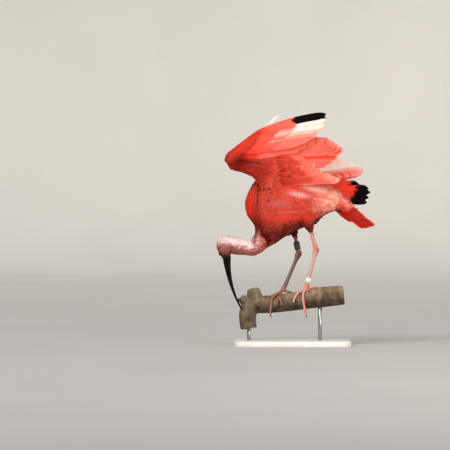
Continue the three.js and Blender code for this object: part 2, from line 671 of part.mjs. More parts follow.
for (const [side, wing] of Object.entries(WINGS)) {
  add(`wing_${side}_hand`, "plumage", meet(handOf(wing), torsoRoom));
  add(`wing_${side}_arm`, "plumage", meet(armOf(wing), torsoRoom, handBody(wing, GAP)));
}
for (const [side, leg] of Object.entries(LEGS)) {
  add(`thigh_${side}`, "plumage", meet(thighBody(leg), torsoRoom));
  add(`shank_${side}`, "leg", meet(shankBody(leg), thighBody(leg, GAP)));
  add(`tarsus_${side}`, "leg", meet(tarsusBody(leg), shankBody(leg, GAP)));
  add(`foot_${side}`, "leg", meet(footBody(leg), tarsusBody(leg, GAP), perchRoom));
}
const onTarsus = (leg, share) => leg.hock.clone().lerp(leg.hub, share);
add("ring_white", "white_band", ring(onTarsus(LEGS.left, 0.85), onTarsus(LEGS.left, 0.73), 6.2, 7.8));
const [ringLow, ringHigh] = [V(21, 28.7, 249), V(17.2, 30, 269)];
add("ring_green", "green_band", ring(ringLow, ringHigh, 6.9, 8.1));

add("perch", "bark", perch);
add("stand_base", "stand", baseBody());
add("stand_rod_left", "steel", meet(rodBody(ROD.left, 80), perchRoom));
add("stand_rod_right", "steel", meet(rodBody(ROD.right, 130), perchRoom));

const ibis = new THREE.Group();
ibis.add(...pieces);
export default ibis;
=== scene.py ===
"""A life-size scarlet ibis, stooping on a cut length of branch that a plain display stand holds up.

The bird faces -X with its left side towards -Y, where the camera is, and +Z is up.
Tables give places in millimetres, as a model maker would, and mm() turns them to metres.
"""

import math

import bpy
import numpy as np
from mathutils.kdtree import KDTree
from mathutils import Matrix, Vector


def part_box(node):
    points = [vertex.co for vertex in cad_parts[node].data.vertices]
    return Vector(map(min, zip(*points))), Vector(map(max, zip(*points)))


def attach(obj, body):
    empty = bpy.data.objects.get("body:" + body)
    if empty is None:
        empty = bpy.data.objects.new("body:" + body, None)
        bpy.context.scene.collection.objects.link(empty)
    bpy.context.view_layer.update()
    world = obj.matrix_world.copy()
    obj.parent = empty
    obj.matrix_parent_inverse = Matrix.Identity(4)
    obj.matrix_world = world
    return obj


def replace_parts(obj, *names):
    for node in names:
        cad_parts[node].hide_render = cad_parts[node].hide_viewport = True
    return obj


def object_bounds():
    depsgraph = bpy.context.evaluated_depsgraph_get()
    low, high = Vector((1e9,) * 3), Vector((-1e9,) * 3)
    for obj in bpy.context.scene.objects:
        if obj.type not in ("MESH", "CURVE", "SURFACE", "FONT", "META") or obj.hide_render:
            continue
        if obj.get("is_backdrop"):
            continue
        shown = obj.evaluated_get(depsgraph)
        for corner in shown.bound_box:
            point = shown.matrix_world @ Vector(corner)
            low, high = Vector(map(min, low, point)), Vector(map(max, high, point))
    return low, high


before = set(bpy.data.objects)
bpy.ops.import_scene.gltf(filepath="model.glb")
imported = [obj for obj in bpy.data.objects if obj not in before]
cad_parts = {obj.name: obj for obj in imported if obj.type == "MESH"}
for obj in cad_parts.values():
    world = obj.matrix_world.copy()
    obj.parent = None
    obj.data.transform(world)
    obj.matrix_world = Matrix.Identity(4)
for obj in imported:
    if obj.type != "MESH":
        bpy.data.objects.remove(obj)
cad_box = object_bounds()

# Sizes of the bird and its coat, in metres

MM = 0.001
COAT_BODY = 0.0055  # the skin lies this far inside the plumage's outline
COAT_NECK = 0.0022
COAT_HEAD = 0.0010
COAT_THIGH = 0.0035
COAT_WING = 0.0022
SKIN_VOXEL = 0.0019
SEAM_REACH = 0.034  # the skin is smoothed this far round the line where wing and body meet
SEAM_FADE = 0.02
SEAM_PASSES = 90
CALM_PASSES = 16  # how often the skin's normals are averaged before feathers lie on them
DARTS = 70000  # places tried for a small feather
FEATHERS_A_PIECE = 2300
BILL_LENGTH = 0.145
BILL_BEND = math.radians(40)
HEAD_ROLL = math.radians(52)
EYE_RADIUS = 0.0054
BARB = 0.0011  # real barbs lie 0.4 mm apart, drawn coarser so that they show
BAKE_PATCH = 0.003  # a feather's share of the skin's map
PERCH_VOXEL = 0.0016
TARSUS = 95  # millimetres


# Arrays

def mm(rows):
    """Millimetres to metres."""
    return np.asarray(rows, float) * MM


def unit(v):
    """Each vector divided by its length."""
    v = np.asarray(v, float)
    return v / np.maximum(np.linalg.norm(v, axis=-1, keepdims=True), 1e-12)


def turn(v, axis, angle):
    """v turned about axis: v cos a + (axis x v) sin a + axis (axis . v)(1 - cos a)."""
    v, axis = np.broadcast_arrays(np.asarray(v, float), np.asarray(axis, float))
    a = np.asarray(angle, float)[..., None]
    along = np.sum(v * axis, axis=-1, keepdims=True)
    return v * np.cos(a) + np.cross(axis, v) * np.sin(a) + axis * along * (1 - np.cos(a))


def circle(count):
    """Angles of count even steps round a circle."""
    return np.linspace(0, 2 * math.pi, count, endpoint=False)


def spline(rows, count):
    """A Catmull-Rom cubic through the rows, at count even steps of its own parameter."""
    rows = np.asarray(rows, float)
    padded = np.vstack([2 * rows[0] - rows[1], rows, 2 * rows[-1] - rows[-2]])
    u = np.linspace(0, len(rows) - 1, count)
    k = np.minimum(u.astype(int), len(rows) - 2)
    t = (u - k)[:, None]
    a, b, c, d = (padded[k + i] for i in range(4))
    return 0.5 * (2 * b + (c - a) * t + (2 * a - 5 * b + 4 * c - d) * t**2 + (3 * b - a - 3 * c + d) * t**3)


def along(rows, shares):
    """Points of the smooth curve through the rows, at the given shares of its length."""
    fine = spline(rows, 200) if len(rows) > 2 else np.linspace(rows[0], rows[-1], 200)
    steps = np.concatenate([[0], np.cumsum(np.linalg.norm(np.diff(fine, axis=0), axis=1))])
    at = np.asarray(shares, float) * steps[-1]
    return np.stack([np.interp(at, steps, fine[:, i]) for i in range(fine.shape[1])], axis=1)


def bump_at(x, centre, width):
    """A smooth hump of height 1 at centre, exp(-((x - centre) / width) squared)."""
    return np.exp(-(((x - centre) / width) ** 2))


def ripple(p, seed, scale):
    """Smooth noise, mostly from -1 to 1: twelve sine waves of random direction and about scale in length."""
    rng = np.random.default_rng(seed)
    ways = rng.normal(size=(12, 3))
    waves = unit(ways) * rng.uniform(0.6, 1.8, (12, 1)) * 2 * math.pi / scale
    phases = rng.uniform(0, 2 * math.pi, 12)
    return np.sin(p @ waves.T + phases).sum(axis=-1) / 4.5


# Meshes

def read(items, key, width, kind=float):
    """One array of a mesh, as a row of width values for each of its items."""
    out = np.empty(len(items) * width, kind)
    items.foreach_get(key, out)
    return out.reshape(-1, width)


def paint(mesh, colours):
    """Stores a linear colour for each point, which the materials read as Tint."""
    rgba = np.ones((len(mesh.vertices), 4), np.float32)
    rgba[:, :3] = colours
    mesh.color_attributes.new("Tint", "FLOAT_COLOR", "POINT").data.foreach_set("color", rgba.ravel())


def piece(name, points, faces, maps=None, tint=None):
    """An object at the origin from points and arrays of faces, each array with one number of corners."""
    mesh = bpy.data.meshes.new(name)
    faces = [np.asarray(f, np.int32) for f in faces if len(f)]
    corners = np.concatenate([f.ravel() for f in faces])
    sizes = np.concatenate([np.full(len(f), f.shape[1]) for f in faces])
    mesh.vertices.add(len(points))
    mesh.vertices.foreach_set("co", np.asarray(points, np.float32).ravel())
    mesh.loops.add(len(corners))
    mesh.loops.foreach_set("vertex_index", corners)
    mesh.polygons.add(len(sizes))
    mesh.polygons.foreach_set("loop_start", np.concatenate([[0], np.cumsum(sizes)[:-1]]).astype(np.int32))
    mesh.update(calc_edges=True)
    mesh.polygons.foreach_set("use_smooth", np.ones(len(sizes), bool))
    for key, uv in (maps or {}).items():
        layer = mesh.uv_layers.new(name=key)
        layer.data.foreach_set("uv", np.asarray(uv, np.float32)[corners].ravel())
    if tint is not None:
        paint(mesh, tint)
    mesh.validate()
    obj = bpy.data.objects.new(name, mesh)
    bpy.context.scene.collection.objects.link(obj)
    return obj


def fuse(obj, voxel, passes):
    """Turns joined tubes into one seamless surface: remeshed on a lattice, then relaxed. Returns the mesh."""
    remesh = obj.modifiers.new("Remesh", "REMESH")
    remesh.mode = "VOXEL"
    remesh.voxel_size = voxel
    relax = obj.modifiers.new("Smooth", "SMOOTH")
    relax.factor = 0.5
    relax.iterations = passes
    graph = bpy.context.evaluated_depsgraph_get()
    made = bpy.data.meshes.new_from_object(obj.evaluated_get(graph))
    obj.modifiers.clear()
    old = obj.data
    obj.data = made
    bpy.data.meshes.remove(old)
    made.polygons.foreach_set("use_smooth", np.ones(len(made.polygons), bool))
    return made


def crease(mesh, rails):
    """Keeps the shading crisp along rails: edges whose two points carry the same rail number above 0."""
    a, b = np.asarray(rails)[read(mesh.edges, "vertices", 2, np.int32)].T
    mesh.attributes.new("sharp_edge", "BOOLEAN", "EDGE").data.foreach_set("value", (a == b) & (a > 0))


def neighbour_mean(values, edges):
    """The mean of each point's values and those of the points it shares an edge with."""
    total = values.copy()
    count = np.ones(len(values))
    for a, b in ((edges[:, 0], edges[:, 1]), (edges[:, 1], edges[:, 0])):
        for k in range(values.shape[1]):
            total[:, k] += np.bincount(a, values[b, k], len(values))
        count += np.bincount(a, minlength=len(values))
    return total / count[:, None]


def flatten(a):
    """All axes but the last run together."""
    return a.reshape(-1, a.shape[-1])


def grid_faces(rings, around):
    """Quads of a tube of rings, each with around points, and fans that close its two ends on their poles."""
    i, j = np.meshgrid(np.arange(rings - 1), np.arange(around), indexing="ij")
    k = (j + 1) % around
    quads = np.stack([i * around + j, i * around + k, (i + 1) * around + k, (i + 1) * around + j], axis=-1)
    j = np.arange(around)
    k = (j + 1) % around
    first, last = rings * around, rings * around + 1
    end = (rings - 1) * around
    fans = [np.stack([np.full(around, first), k, j], axis=1)]
    fans.append(np.stack([np.full(around, last), end + j, end + k], axis=1))
    return quads.reshape(-1, 4), np.vstack(fans)


def tube(rings):
    """Points and faces of a closed tube from its rings (ring, around, xyz), with a pole in each end."""
    count, around = rings.shape[:2]
    poles = np.stack([rings[0].mean(axis=0), rings[-1].mean(axis=0)])
    return np.vstack([rings.reshape(-1, 3), poles]), grid_faces(count, around)


def join(parts):
    """Several (points, (quads, triangles)) as one."""
    points, quads, fans, start = [], [], [], 0
    for p, (q, f) in parts:
        points.append(p)
        quads.append(q + start)
        fans.append(f + start)
        start += len(p)
    return np.vstack(points), (np.vstack(quads), np.vstack(fans))


def ellipse_rings(centres, ups, sides, around=32):
    """Rings of centre + up cos a + side sin a."""
    a = circle(around)[None, :, None]
    return centres[:, None] + ups[:, None] * np.cos(a) + sides[:, None] * np.sin(a)


def limb_axes(centres, hint):
    """Up, side and forward directions of a limb that follows its centres, with side near the hint."""
    forward = unit(np.gradient(centres, axis=0))
    up = unit(np.cross(forward, np.broadcast_to(np.asarray(hint, float), centres.shape)))
    return up, unit(np.cross(up, forward)), forward


def limb(rows, count, hint=(0, 1, 0), around=32, less=0.0):
    """A smooth tube from rows [x, y, z, half depth, half width] in metres, made thinner all over by less."""
    fine = spline(rows, count)
    up, side, _ = limb_axes(fine[:, :3], hint)
    sizes = np.maximum(fine[:, 3:5] - less, 0.0006)
    return ellipse_rings(fine[:, :3], up * sizes[:, :1], side * sizes[:, 1:2], around)


# Materials

def linear(code):
    """An sRGB hex colour as linear light."""
    c = np.array([int(code[i : i + 2], 16) for i in (1, 3, 5)]) / 255
    return np.where(c <= 0.04045, c / 12.92, ((c + 0.055) / 1.055) ** 2.4)


def node(tree, kind, links=None, **settings):
    """Adds a node, sets its properties and plain inputs, and links the inputs that links names."""
    made = tree.nodes.new(kind)
    for key, value in settings.items():
        if hasattr(made, key):
            setattr(made, key, value)
        else:
            made.inputs[key.replace("_", " ")].default_value = value
    for key, source in (links or {}).items():
        tree.links.new(source, made.inputs[key])
    return made


def material(name, **values):
    """A material with one Principled shader. Returns the material, its tree and the shader's inputs."""
    made = bpy.data.materials.new(name)
    made.use_nodes = True
    inputs = made.node_tree.nodes["Principled BSDF"].inputs
    for key, value in values.items():
        inputs[key.replace("_", " ")].default_value = value
    return made, made.node_tree, inputs


def own_place(tree):
    """The piece's own coordinates, in metres."""
    return node(tree, "ShaderNodeTexCoord").outputs["Object"]


def stored(tree, name):
    """The colour that the mesh stores for each point under a name."""
    return node(tree, "ShaderNodeAttribute", attribute_name=name).outputs["Color"]


def noise(tree, place, scale, detail):
    """Soft noise from 0 to 1, of scale to the metre."""
    return node(tree, "ShaderNodeTexNoise", {"Vector": place}, Scale=scale, Detail=detail).outputs["Fac"]


def stretched(tree, place, scale):
    """Coordinates multiplied by a scale for each axis."""
    return node(tree, "ShaderNodeMapping", {"Vector": place}, Scale=scale).outputs["Vector"]


def compute(tree, operation, *values):
    """The result of a sum or other operation on sockets and plain numbers."""
    made = node(tree, "ShaderNodeMath", operation=operation)
    for socket, value in zip(made.inputs, values):
        if isinstance(value, float):
            socket.default_value = value
        else:
            tree.links.new(value, socket)
    return made.outputs[0]


def remap(tree, value, low, high, to_low, to_high):
    """A value carried from the range low to high to another one, and held within it."""
    made = node(
        tree, "ShaderNodeMapRange", {"Value": value},
        From_Min=low, From_Max=high, To_Min=to_low, To_Max=to_high,
    )
    return made.outputs["Result"]


def scaled(tree, colour, factor):
    """A colour made darker or lighter by a factor."""
    return node(tree, "ShaderNodeVectorMath", {0: colour, "Scale": factor}, operation="SCALE").outputs[0]


def relief(tree, inputs, height, strength, distance):
    """Fine relief of the surface from a height, up to distance metres deep."""
    made = node(tree, "ShaderNodeBump", {"Height": height}, Strength=strength, Distance=distance)
    tree.links.new(made.outputs["Normal"], inputs["Normal"])


def ramp(tree, source, stops):
    """A colour from a ramp of (place, hex colour) pairs."""
    made = node(tree, "ShaderNodeValToRGB", {"Fac": source})
    while len(made.color_ramp.elements) < len(stops):
        made.color_ramp.elements.new(0.5)
    for element, (place, colour) in zip(made.color_ramp.elements, stops):
        element.position = place
        element.color = (*linear(colour), 1)
    return made.outputs["Color"]


def mottled(tree, inputs, place, scale, low, high):
    """Base colour that drifts between two near shades, with a noise of the given scale."""
    shades = ramp(tree, noise(tree, place, scale, 3.0), [(0.35, low), (0.65, high)])
    tree.links.new(shades, inputs["Base Color"])


def feather_material(name, barb, roughness):
    """Feather keratin: dull, with a soft sheen, and barbs that slant from the shaft to the vane's edge."""
    made, tree, inputs = material(
        name, Roughness=roughness, Specular_IOR_Level=0.06,
        Sheen_Weight=0.03, Sheen_Roughness=0.4, Sheen_Tint=(*linear("#FF8068"), 1),
    )
    vane = node(tree, "ShaderNodeUVMap", uv_map="Vane")
    parts = node(tree, "ShaderNodeSeparateXYZ", {"Vector": vane.outputs["UV"]})
    off = compute(tree, "ABSOLUTE", parts.outputs["X"])
    slant = compute(tree, "SUBTRACT", parts.outputs["Y"], off)
    wave = compute(tree, "MULTIPLY", slant, 2 * math.pi / barb)
    clumps = node(tree, "ShaderNodeTexNoise", Scale=260.0, Detail=3.0).outputs["Fac"]
    level = compute(tree, "MULTIPLY_ADD", compute(tree, "SINE", wave), 0.3, clumps)
    shade = remap(tree, level, 0.1, 0.9, 0.86, 1.1)
    tree.links.new(scaled(tree, stored(tree, "Tint"), shade), inputs["Base Color"])
    relief(tree, inputs, level, 0.35, 0.0004)
    return made


def skin_material():
    """Bare bird skin and the down over it: matt, finely wrinkled."""
    made, tree, inputs = material("bird_skin", Roughness=0.6, Specular_IOR_Level=0.35)
    place = own_place(tree)
    cells = node(tree, "ShaderNodeTexVoronoi", {"Vector": place}, Scale=900.0)
    height = compute(tree, "ADD", noise(tree, place, 420.0, 4.0), cells.outputs["Distance"])
    tree.links.new(stored(tree, "Tint"), inputs["Base Color"])
    relief(tree, inputs, height, 0.4, 0.0004)
    return made


def scaled_leg_material():
    """Scaly leg skin: net-like scales about 2 mm across, darker in their seams, slightly waxy."""
    made, tree, inputs = material("scaled_leg_skin", Roughness=0.42)
    scales = node(
        tree, "ShaderNodeTexVoronoi", {"Vector": own_place(tree)}, feature="DISTANCE_TO_EDGE", Scale=430.0
    )
    seam = remap(tree, scales.outputs["Distance"], 0.0, 0.12, 0.62, 1.05)
    tree.links.new(scaled(tree, stored(tree, "Tint"), seam), inputs["Base Color"])
    relief(tree, inputs, seam, 0.5, 0.0004)
    return made


def horn_material():
    """Bill horn: near black and slightly waxy, with fine grain and worn greyer patches."""
    made, tree, inputs = material("bill_horn", Roughness=0.4, Specular_IOR_Level=0.05)
    place = own_place(tree)
    shade = remap(tree, noise(tree, place, 90.0, 6.0), 0.35, 0.7, 0.7, 1.7)
    tree.links.new(scaled(tree, stored(tree, "Tint"), shade), inputs["Base Color"])
    relief(tree, inputs, noise(tree, place, 700.0, 3.0), 0.25, 0.0003)
    return made


def eye_material():
    """A wet eye: black pupil, dark brown iris, and the cornea's clear gloss over both."""
    made, tree, inputs = material(
        "wet_eye", Roughness=0.3, Specular_IOR_Level=0.15, Coat_Weight=0.15, Coat_Roughness=0.03
    )
    polar = node(tree, "ShaderNodeUVMap", uv_map="Polar")
    parts = node(tree, "ShaderNodeSeparateXYZ", {"Vector": polar.outputs["UV"]})
    stops = [(0.0, "#050405"), (0.17, "#060405"), (0.2, "#26100A"), (0.29, "#1C0C08"), (0.33, "#0B0707")]
    tree.links.new(ramp(tree, parts.outputs["Y"], stops), inputs["Base Color"])
    return made


def bark_material():
    """Smooth weathered bark: grey-brown, mottled, with dark pits, and times the stored Tint, a painted light
    that makes it paler on top and darker below and in the knots.

    The sawn ends show pale wood with rings.
    """
    made, tree, inputs = material("weathered_bark", Roughness=0.85, Specular_IOR_Level=0.2)
    place = own_place(tree)
    broad = noise(tree, stretched(tree, place, (1.0, 0.55, 0.55)), 75.0, 8.0)
    mottle = ramp(tree, broad, [(0.3, "#5E4D3D"), (0.44, "#80705C"), (0.58, "#95846E"), (0.74, "#AC9C85")])
    pits = remap(tree, noise(tree, place, 300.0, 5.0), 0.32, 0.46, 0.72, 1.0)
    # The stored Tint is a painted light: paler on top, darker below and in the knots
    links = {0: scaled(tree, mottle, pits), 1: stored(tree, "Tint")}
    lit_bark = node(tree, "ShaderNodeVectorMath", links, operation="MULTIPLY").outputs[0]
    rings = node(
        tree, "ShaderNodeTexWave", {"Vector": place},
        wave_type="RINGS", rings_direction="X", Scale=110.0, Distortion=3.0,
    )
    wood = ramp(tree, rings.outputs["Fac"], [(0.0, "#A28C6B"), (1.0, "#C9B695")])
    sawn = node(tree, "ShaderNodeAttribute", attribute_name="Sawn").outputs["Fac"]
    final = node(tree, "ShaderNodeMix", {"Factor": sawn, 6: lit_bark, 7: wood}, data_type="RGBA")
    tree.links.new(final.outputs[2], inputs["Base Color"])
    relief(tree, inputs, noise(tree, place, 420.0, 6.0), 0.5, 0.0008)
    return made


def moulded_band_material(name, low, high):
    """Moulded plastic of a leg ring: nearly even colour, faint scuffs that dull it in places."""
    made, tree, inputs = material(name)
    place = own_place(tree)
    mottled(tree, inputs, place, 250.0, low, high)
    tree.links.new(remap(tree, noise(tree, place, 500.0, 4.0), 0.0, 1.0, 0.3, 0.6), inputs["Roughness"])
    return made


def stand_paint_material():
    """Satin paint on a steel plate: warm white, with the faint unevenness of a sprayed coat."""
    made, tree, inputs = material("satin_paint", Roughness=0.45)
    place = own_place(tree)
    mottled(tree, inputs, place, 30.0, "#E4E1D9", "#EEEBE5")
    relief(tree, inputs, noise(tree, place, 300.0, 2.0), 0.12, 0.0003)
    return made


def steel_material():
    """Brushed steel of the rods: grey metal with fine scratches round it."""
    made, tree, inputs = material("brushed_steel", Metallic=1.0)
    place = own_place(tree)
    mottled(tree, inputs, place, 60.0, "#96999C", "#A8ABAE")
    scratch = noise(tree, stretched(tree, place, (60, 60, 2400)), 1.0, 3.0)
    tree.links.new(remap(tree, scratch, 0.0, 1.0, 0.22, 0.46), inputs["Roughness"])
    return made


BODY_FEATHER = feather_material("body_feather", BARB, 0.7)
FLIGHT_FEATHER = feather_material("flight_feather", BARB * 1.4, 0.6)
SKIN = skin_material()
LEG_SKIN = scaled_leg_material()
HORN = horn_material()
EYE = eye_material()
BARK = bark_material()
STAND_PAINT = stand_paint_material()
STEEL = steel_material()
GREEN_BAND = moulded_band_material("green_band", "#122C23", "#1B3F33")
WHITE_BAND = moulded_band_material("white_band", "#E3DFD5", "#F3F0E9")

# Plumage and skin colours, linear
SCARLET = linear("#BF3122")
BRIGHT = linear("#D44735")
# DEEP, DARK and MAROON are painted shade: they darken the plumage below the body and in hollows, folds,
# creases and gaps
DEEP = linear("#7E0C05")
DARK = linear("#520805")
MAROON = linear("#3A0A0A")
WING_RED = linear("#FF4130")
CORAL = linear("#FF6856")
ROSE = linear("#F4705A")
PINK = linear("#FF9482")
PALE = linear("#FFC4B2")
# The tail's red, darkened as a painted shade
TAIL_SHADE_RED = linear("#A52218")
WHITE_PINK = linear("#FFEFE9")
BLACK = linear("#0B0709")
NECK_PALE = linear("#F7E0E1")
NECK_GREY = linear("#B87C74")
NECK_BROWN = linear("#8A5042")
NECK_RED = linear("#DA5244")
FACE_RED = linear("#93382E")
FACE_DARK = linear("#2E1411")
LORES = linear("#120C0B")
LILAC = linear("#EFBCC2")


def blend(a, b, share):
    """From a to b by share, which may be an array."""
    share = np.clip(np.asarray(share, float), 0, 1)
    return a + (b - a) * share[..., None]


# The body's forms, in millimetres, as its solids have them

# Torso: [dorsal x, z], [ventral x, z], half width
TORSO = [
    [-95, 318, -62, 246, 24],
    [-112, 341, -37, 261, 40],
    [-117, 378, -18, 274, 52],
    [-96, 425, 0, 284, 60],
    [-52, 443, 26, 299, 63],
    [0, 447, 57, 308, 60],
    [52, 440, 78, 325, 50],
    [107, 420, 99, 339, 35],
    [131, 401, 123, 349, 23],
]
# [x, y, z, half depth, half width]
NECK = [
    [-64, 0, 312, 30, 27],
    [-70, 0, 284, 24.5, 26],
    [-82, 0, 265, 23.5, 24.5],
    [-98, 1, 254, 22.5, 22.5],
    [-117, 1, 254.5, 21.3, 21.3],
    [-141, 1, 258, 24, 18.5],
    [-155, 3, 265, 20, 16],
    [-166, 6, 269, 16, 14],
    [-174, 8, 271, 10, 10],
]
HEAD = [
    [-168, 8, 285, 9.5, 9.5],
    [-171, 8, 277, 17, 15],
    [-172.5, 8, 262, 21.5, 18],
    [-171, 8, 248, 20, 16.8],
    [-168.5, 8, 238, 16.8, 14.4],
    [-166, 8, 229.5, 13.8, 11.6],
    [-164.5, 8, 224, 12.6, 10.7],
]
TAIL_ROOT = mm([124, 0, 374])
TAIL_AXIS = unit([0.755, -0.26, -0.6])
TAIL_ROLL = math.radians(40)
TAIL_LENGTH = 0.113
TAIL_SPREAD = math.radians(8.5)
TAIL_RANK = 0.00115  # from one tail feather to the next, measured through the tail

# The head's own frame looks down the bill, with the crown turned away from the camera
FORWARD = unit([0.07, 0, -1])
CROWN = turn(unit([-1, 0, -0.07]), FORWARD, HEAD_ROLL)
LEFTWARD = turn([0, -1, 0], FORWARD, HEAD_ROLL)
BILL_BASE = mm([-164.5, 8, 226])
EYE_LEVEL = mm([-168.5, 8, 240])  # on the head's middle line


def eye_centre(side):
    """The middle of an eyeball, side +1 for the left."""
    return EYE_LEVEL + CROWN * 6 * MM + LEFTWARD * side * 9.8 * MM


def bill_place(share):
    """Places on the bill's middle line, an arc of a circle, with its up and forward directions."""
    a = BILL_BEND * np.asarray(share, float)[..., None]
    radius = BILL_LENGTH / BILL_BEND
    at = BILL_BASE + FORWARD * radius * np.sin(a) - CROWN * radius * (1 - np.cos(a))
    return at, CROWN * np.cos(a) + FORWARD * np.sin(a), FORWARD * np.cos(a) - CROWN * np.sin(a)


class WingPlane:
    """The leaning plane that a wing lies in. A level is a distance along its normal, towards the camera."""

    def __init__(self, y, z, lean):
        """The plane through y and z in millimetres, leaning back by lean degrees."""
        self.y, self.z, self.slope = y * MM, z * MM, math.tan(math.radians(lean))
        self.normal = np.array([0, -math.cos(math.radians(lean)), -math.sin(math.radians(lean))])

    def spot(self, places, level):
        """Places (x, z) in metres, laid on the plane and moved level metres along its normal."""
        places = np.atleast_2d(places)
        x, z = places[:, 0], places[:, 1]
        on = np.stack([x, self.y - (z - self.z) * self.slope, z], axis=1)
        return on + self.normal * np.atleast_1d(level)[:, None]


def roots_and_tips(wing, kind, tips, count):
    """Where feathers start and end, (x, z) in metres, evenly along the wing's two curves of these names."""
    shares = np.linspace(0, 1, count)
    return along(mm(wing[kind + "_roots"]), shares), along(mm(wing[tips + "_tips"]), shares)


# Places are [x, z] on the wing's plane in millimetres, and the shoulder's is [x, y, z]. Tilt turns each vane
# about its shaft by so many degrees, and sweep bends the shaft in the plane by that share of its length.
WINGS = {
    "left": dict(
        plane=WingPlane(-46, 391, 13),
        tilt=-7,
        sweep=0.03,
        shoulder=[-64, -38, 384],
        elbow=[-36, 484],
        wrist=[-156, 485],
        hand_tip=[-80, 554],
        seam=[[-92, 400], [-55, 394], [-24, 398], [-10, 422], [-14, 468], [-34, 470], [-48, 430]],
        web=[
            [-92, 400], [-96, 432], [-124, 446], [-158, 458], [-151, 489],
            [-34, 490], [-14, 468], [-10, 422], [-24, 398],
        ],
        primary_roots=[[-152, 497], [-120, 524], [-84, 556]],
        primary_tips=[[21, 528], [52, 541], [80, 560], [96, 584], [90, 600]],
        secondary_roots=[[-140, 489], [-46, 490]],
        secondary_tips=[[23, 512], [60, 528], [92, 532], [118, 522], [138, 506]],
        tertial_roots=[[-42, 482], [-38, 462]],
        tertial_tips=[[126, 492], [112, 482], [96, 472]],
        lining_roots=[[-40, 486], [-34, 452], [-20, 414]],
        lining_tips=[[30, 484], [46, 464], [70, 438]],
        axillary_roots=[[-38, 456], [-28, 436], [-12, 414]],
        axillary_tips=[[61, 466], [86, 448], [108, 436], [130, 430]],
        hand_covert_tips=[[-40, 512], [-14, 538], [12, 572]],
        arm_covert_tips=[[-52, 492], [-10, 494], [44, 492]],
    ),
    "right": dict(
        plane=WingPlane(79, 391, 20),
        tilt=7,
        sweep=-0.01,
        shoulder=[-62, 26, 428],
        elbow=[26, 430],
        wrist=[-74, 402],
        hand_tip=[20, 388],
        seam=[[-84, 398], [-40, 396], [16, 404], [34, 420]],
        web=[[-84, 394], [-86, 408], [-60, 424], [24, 440], [40, 424], [16, 404], [-40, 396]],
        primary_roots=[[-66, 397], [-22, 393], [18, 388]],
        primary_tips=[[120, 415], [164, 425], [190, 419], [216, 402], [204, 375]],
        secondary_roots=[[-62, 404], [18, 426]],
        secondary_tips=[[110, 430], [150, 437], [188, 441], [196, 452]],
        tertial_roots=[[22, 430], [6, 434]],
        tertial_tips=[[176, 460], [161, 468], [138, 475]],
        axillary_roots=[[0, 420], [14, 414]],
        axillary_tips=[[78, 434], [96, 424]],
        hand_covert_tips=[[10, 402], [60, 402], [104, 388]],
        arm_covert_tips=[[20, 418], [60, 432], [100, 444]],
    ),
}
# Levels of the first and last feather of each tier, in millimetres along the wing plane's normal
LEVELS = {
    "primary": (0.4, 8.0),
    "secondary": (-7.0, -14.6),
    "tertial": (-15.6, -18.2),
    "axillary": (-9.4, -7.0),
    "lining": (-7.6, -5.6),
}
HAND_LEVEL = 5.0
ARM_LEVEL = -11.5
COVERT_STEP = 2.1

# Tones, in this order: shin, rosy, ruddy, and a paler and a darker tone that paint light on the side towards
# the key light and shade on the side away from it
# Thigh and shank: [x, y, z, half depth, half width]
# Toes, in steps: (x, degrees round the branch from its top), or (x, None, z) where the toe hangs at the side
LEGS = {
    "left": dict(
        tones=("#D4A897", "#DC897B", "#C94A38", "#EDCFC2", "#A4564B"),
        thigh=[
            [14, -30, 372, 26, 22], [32, -33, 340, 24, 20],
            [47, -33, 312, 15, 13], [56, -32, 290, 6.2, 6.2],
        ],
        shank=[
            [52, -32.5, 304, 4.8, 4.8], [60, -30, 272, 4.8, 4.8],
            [65, -28.5, 256, 6, 6], [66, -28.2, 250, 6, 6],
        ],
        hock=[66.5, -28, 247],
        hub=[42, -5, 151],
        toes=[
            [(20, 44), (10, 78), (8, None, 106)],
            [(36, 36), (33, 68), (36, None, 102), (41, None, 82), (43, None, 71)],
            [(58, 4), (70, -22), (80, -44), (87, -64)],
            [(45, -28), (47, -54), (48, -74)],
        ],
    ),
    "right": dict(
        # The far leg's tones are darker all over, a painted shade
        tones=("#56342B", "#9A5B50", "#7C332B", "#A57265", "#4E2A24"),
        thigh=[
            [-16, 30, 352, 26, 22], [-4, 32, 322, 22, 18],
            [9, 31, 296, 13, 12], [17, 30, 273, 6.2, 6.2],
        ],
        shank=[
            [12.5, 30.8, 288, 4.8, 4.8], [20, 29, 258, 4.8, 4.8],
            [22, 28.3, 246, 6, 6], [22.8, 28, 241, 6, 6],
        ],
        hock=[23, 28, 238],
        hub=[-18, 3, 143],
        toes=[
            [(-26, 28), (-25, 72), (-18, None, 96)],
            [(-33, 22), (-46, 50), (-50, None, 104), (-52, None, 86), (-48, None, 71)],
            [(-30, -16), (-44, -34), (-56, -52), (-63, -68)],
            [(-4, -8), (4, -32), (8, -54)],
        ],
    ),
}
TOE_RADII = [3.4, 3.8, 3.5, 3.2]

# Branch: [x, z, radius]
BRANCH_RUN = [
    [140, 131, 25], [91, 126, 26.5], [42, 119, 24.5],
    [0, 113, 24], [-52, 107, 23], [-98, 107, 23.5],
]
BRANCH_DROP = [[-84, 112, 20], [-98, 104, 23.5], [-109, 86, 23], [-110, 64, 22], [-107, 44, 21.5]]
BRANCH_STUB = [[-88, 104, 21], [-92, 124, 20.5], [-94, 140, 18], [-94.5, 147, 14], [-95, 150.5, 8]]
BRANCH_TWIG = [[-98, 101, 15], [-112, 112, 15], [-127, 123, 10.5], [-129.5, 125.5, 8]]
BRANCH_KNOTS = [
    [-103, -20, 112], [-110, -20, 98], [-84, -22, 96], [70, -22, 132],
    [110, -24, 118], [15, -20, 101], [-92, -17, 134],
]


# Skin

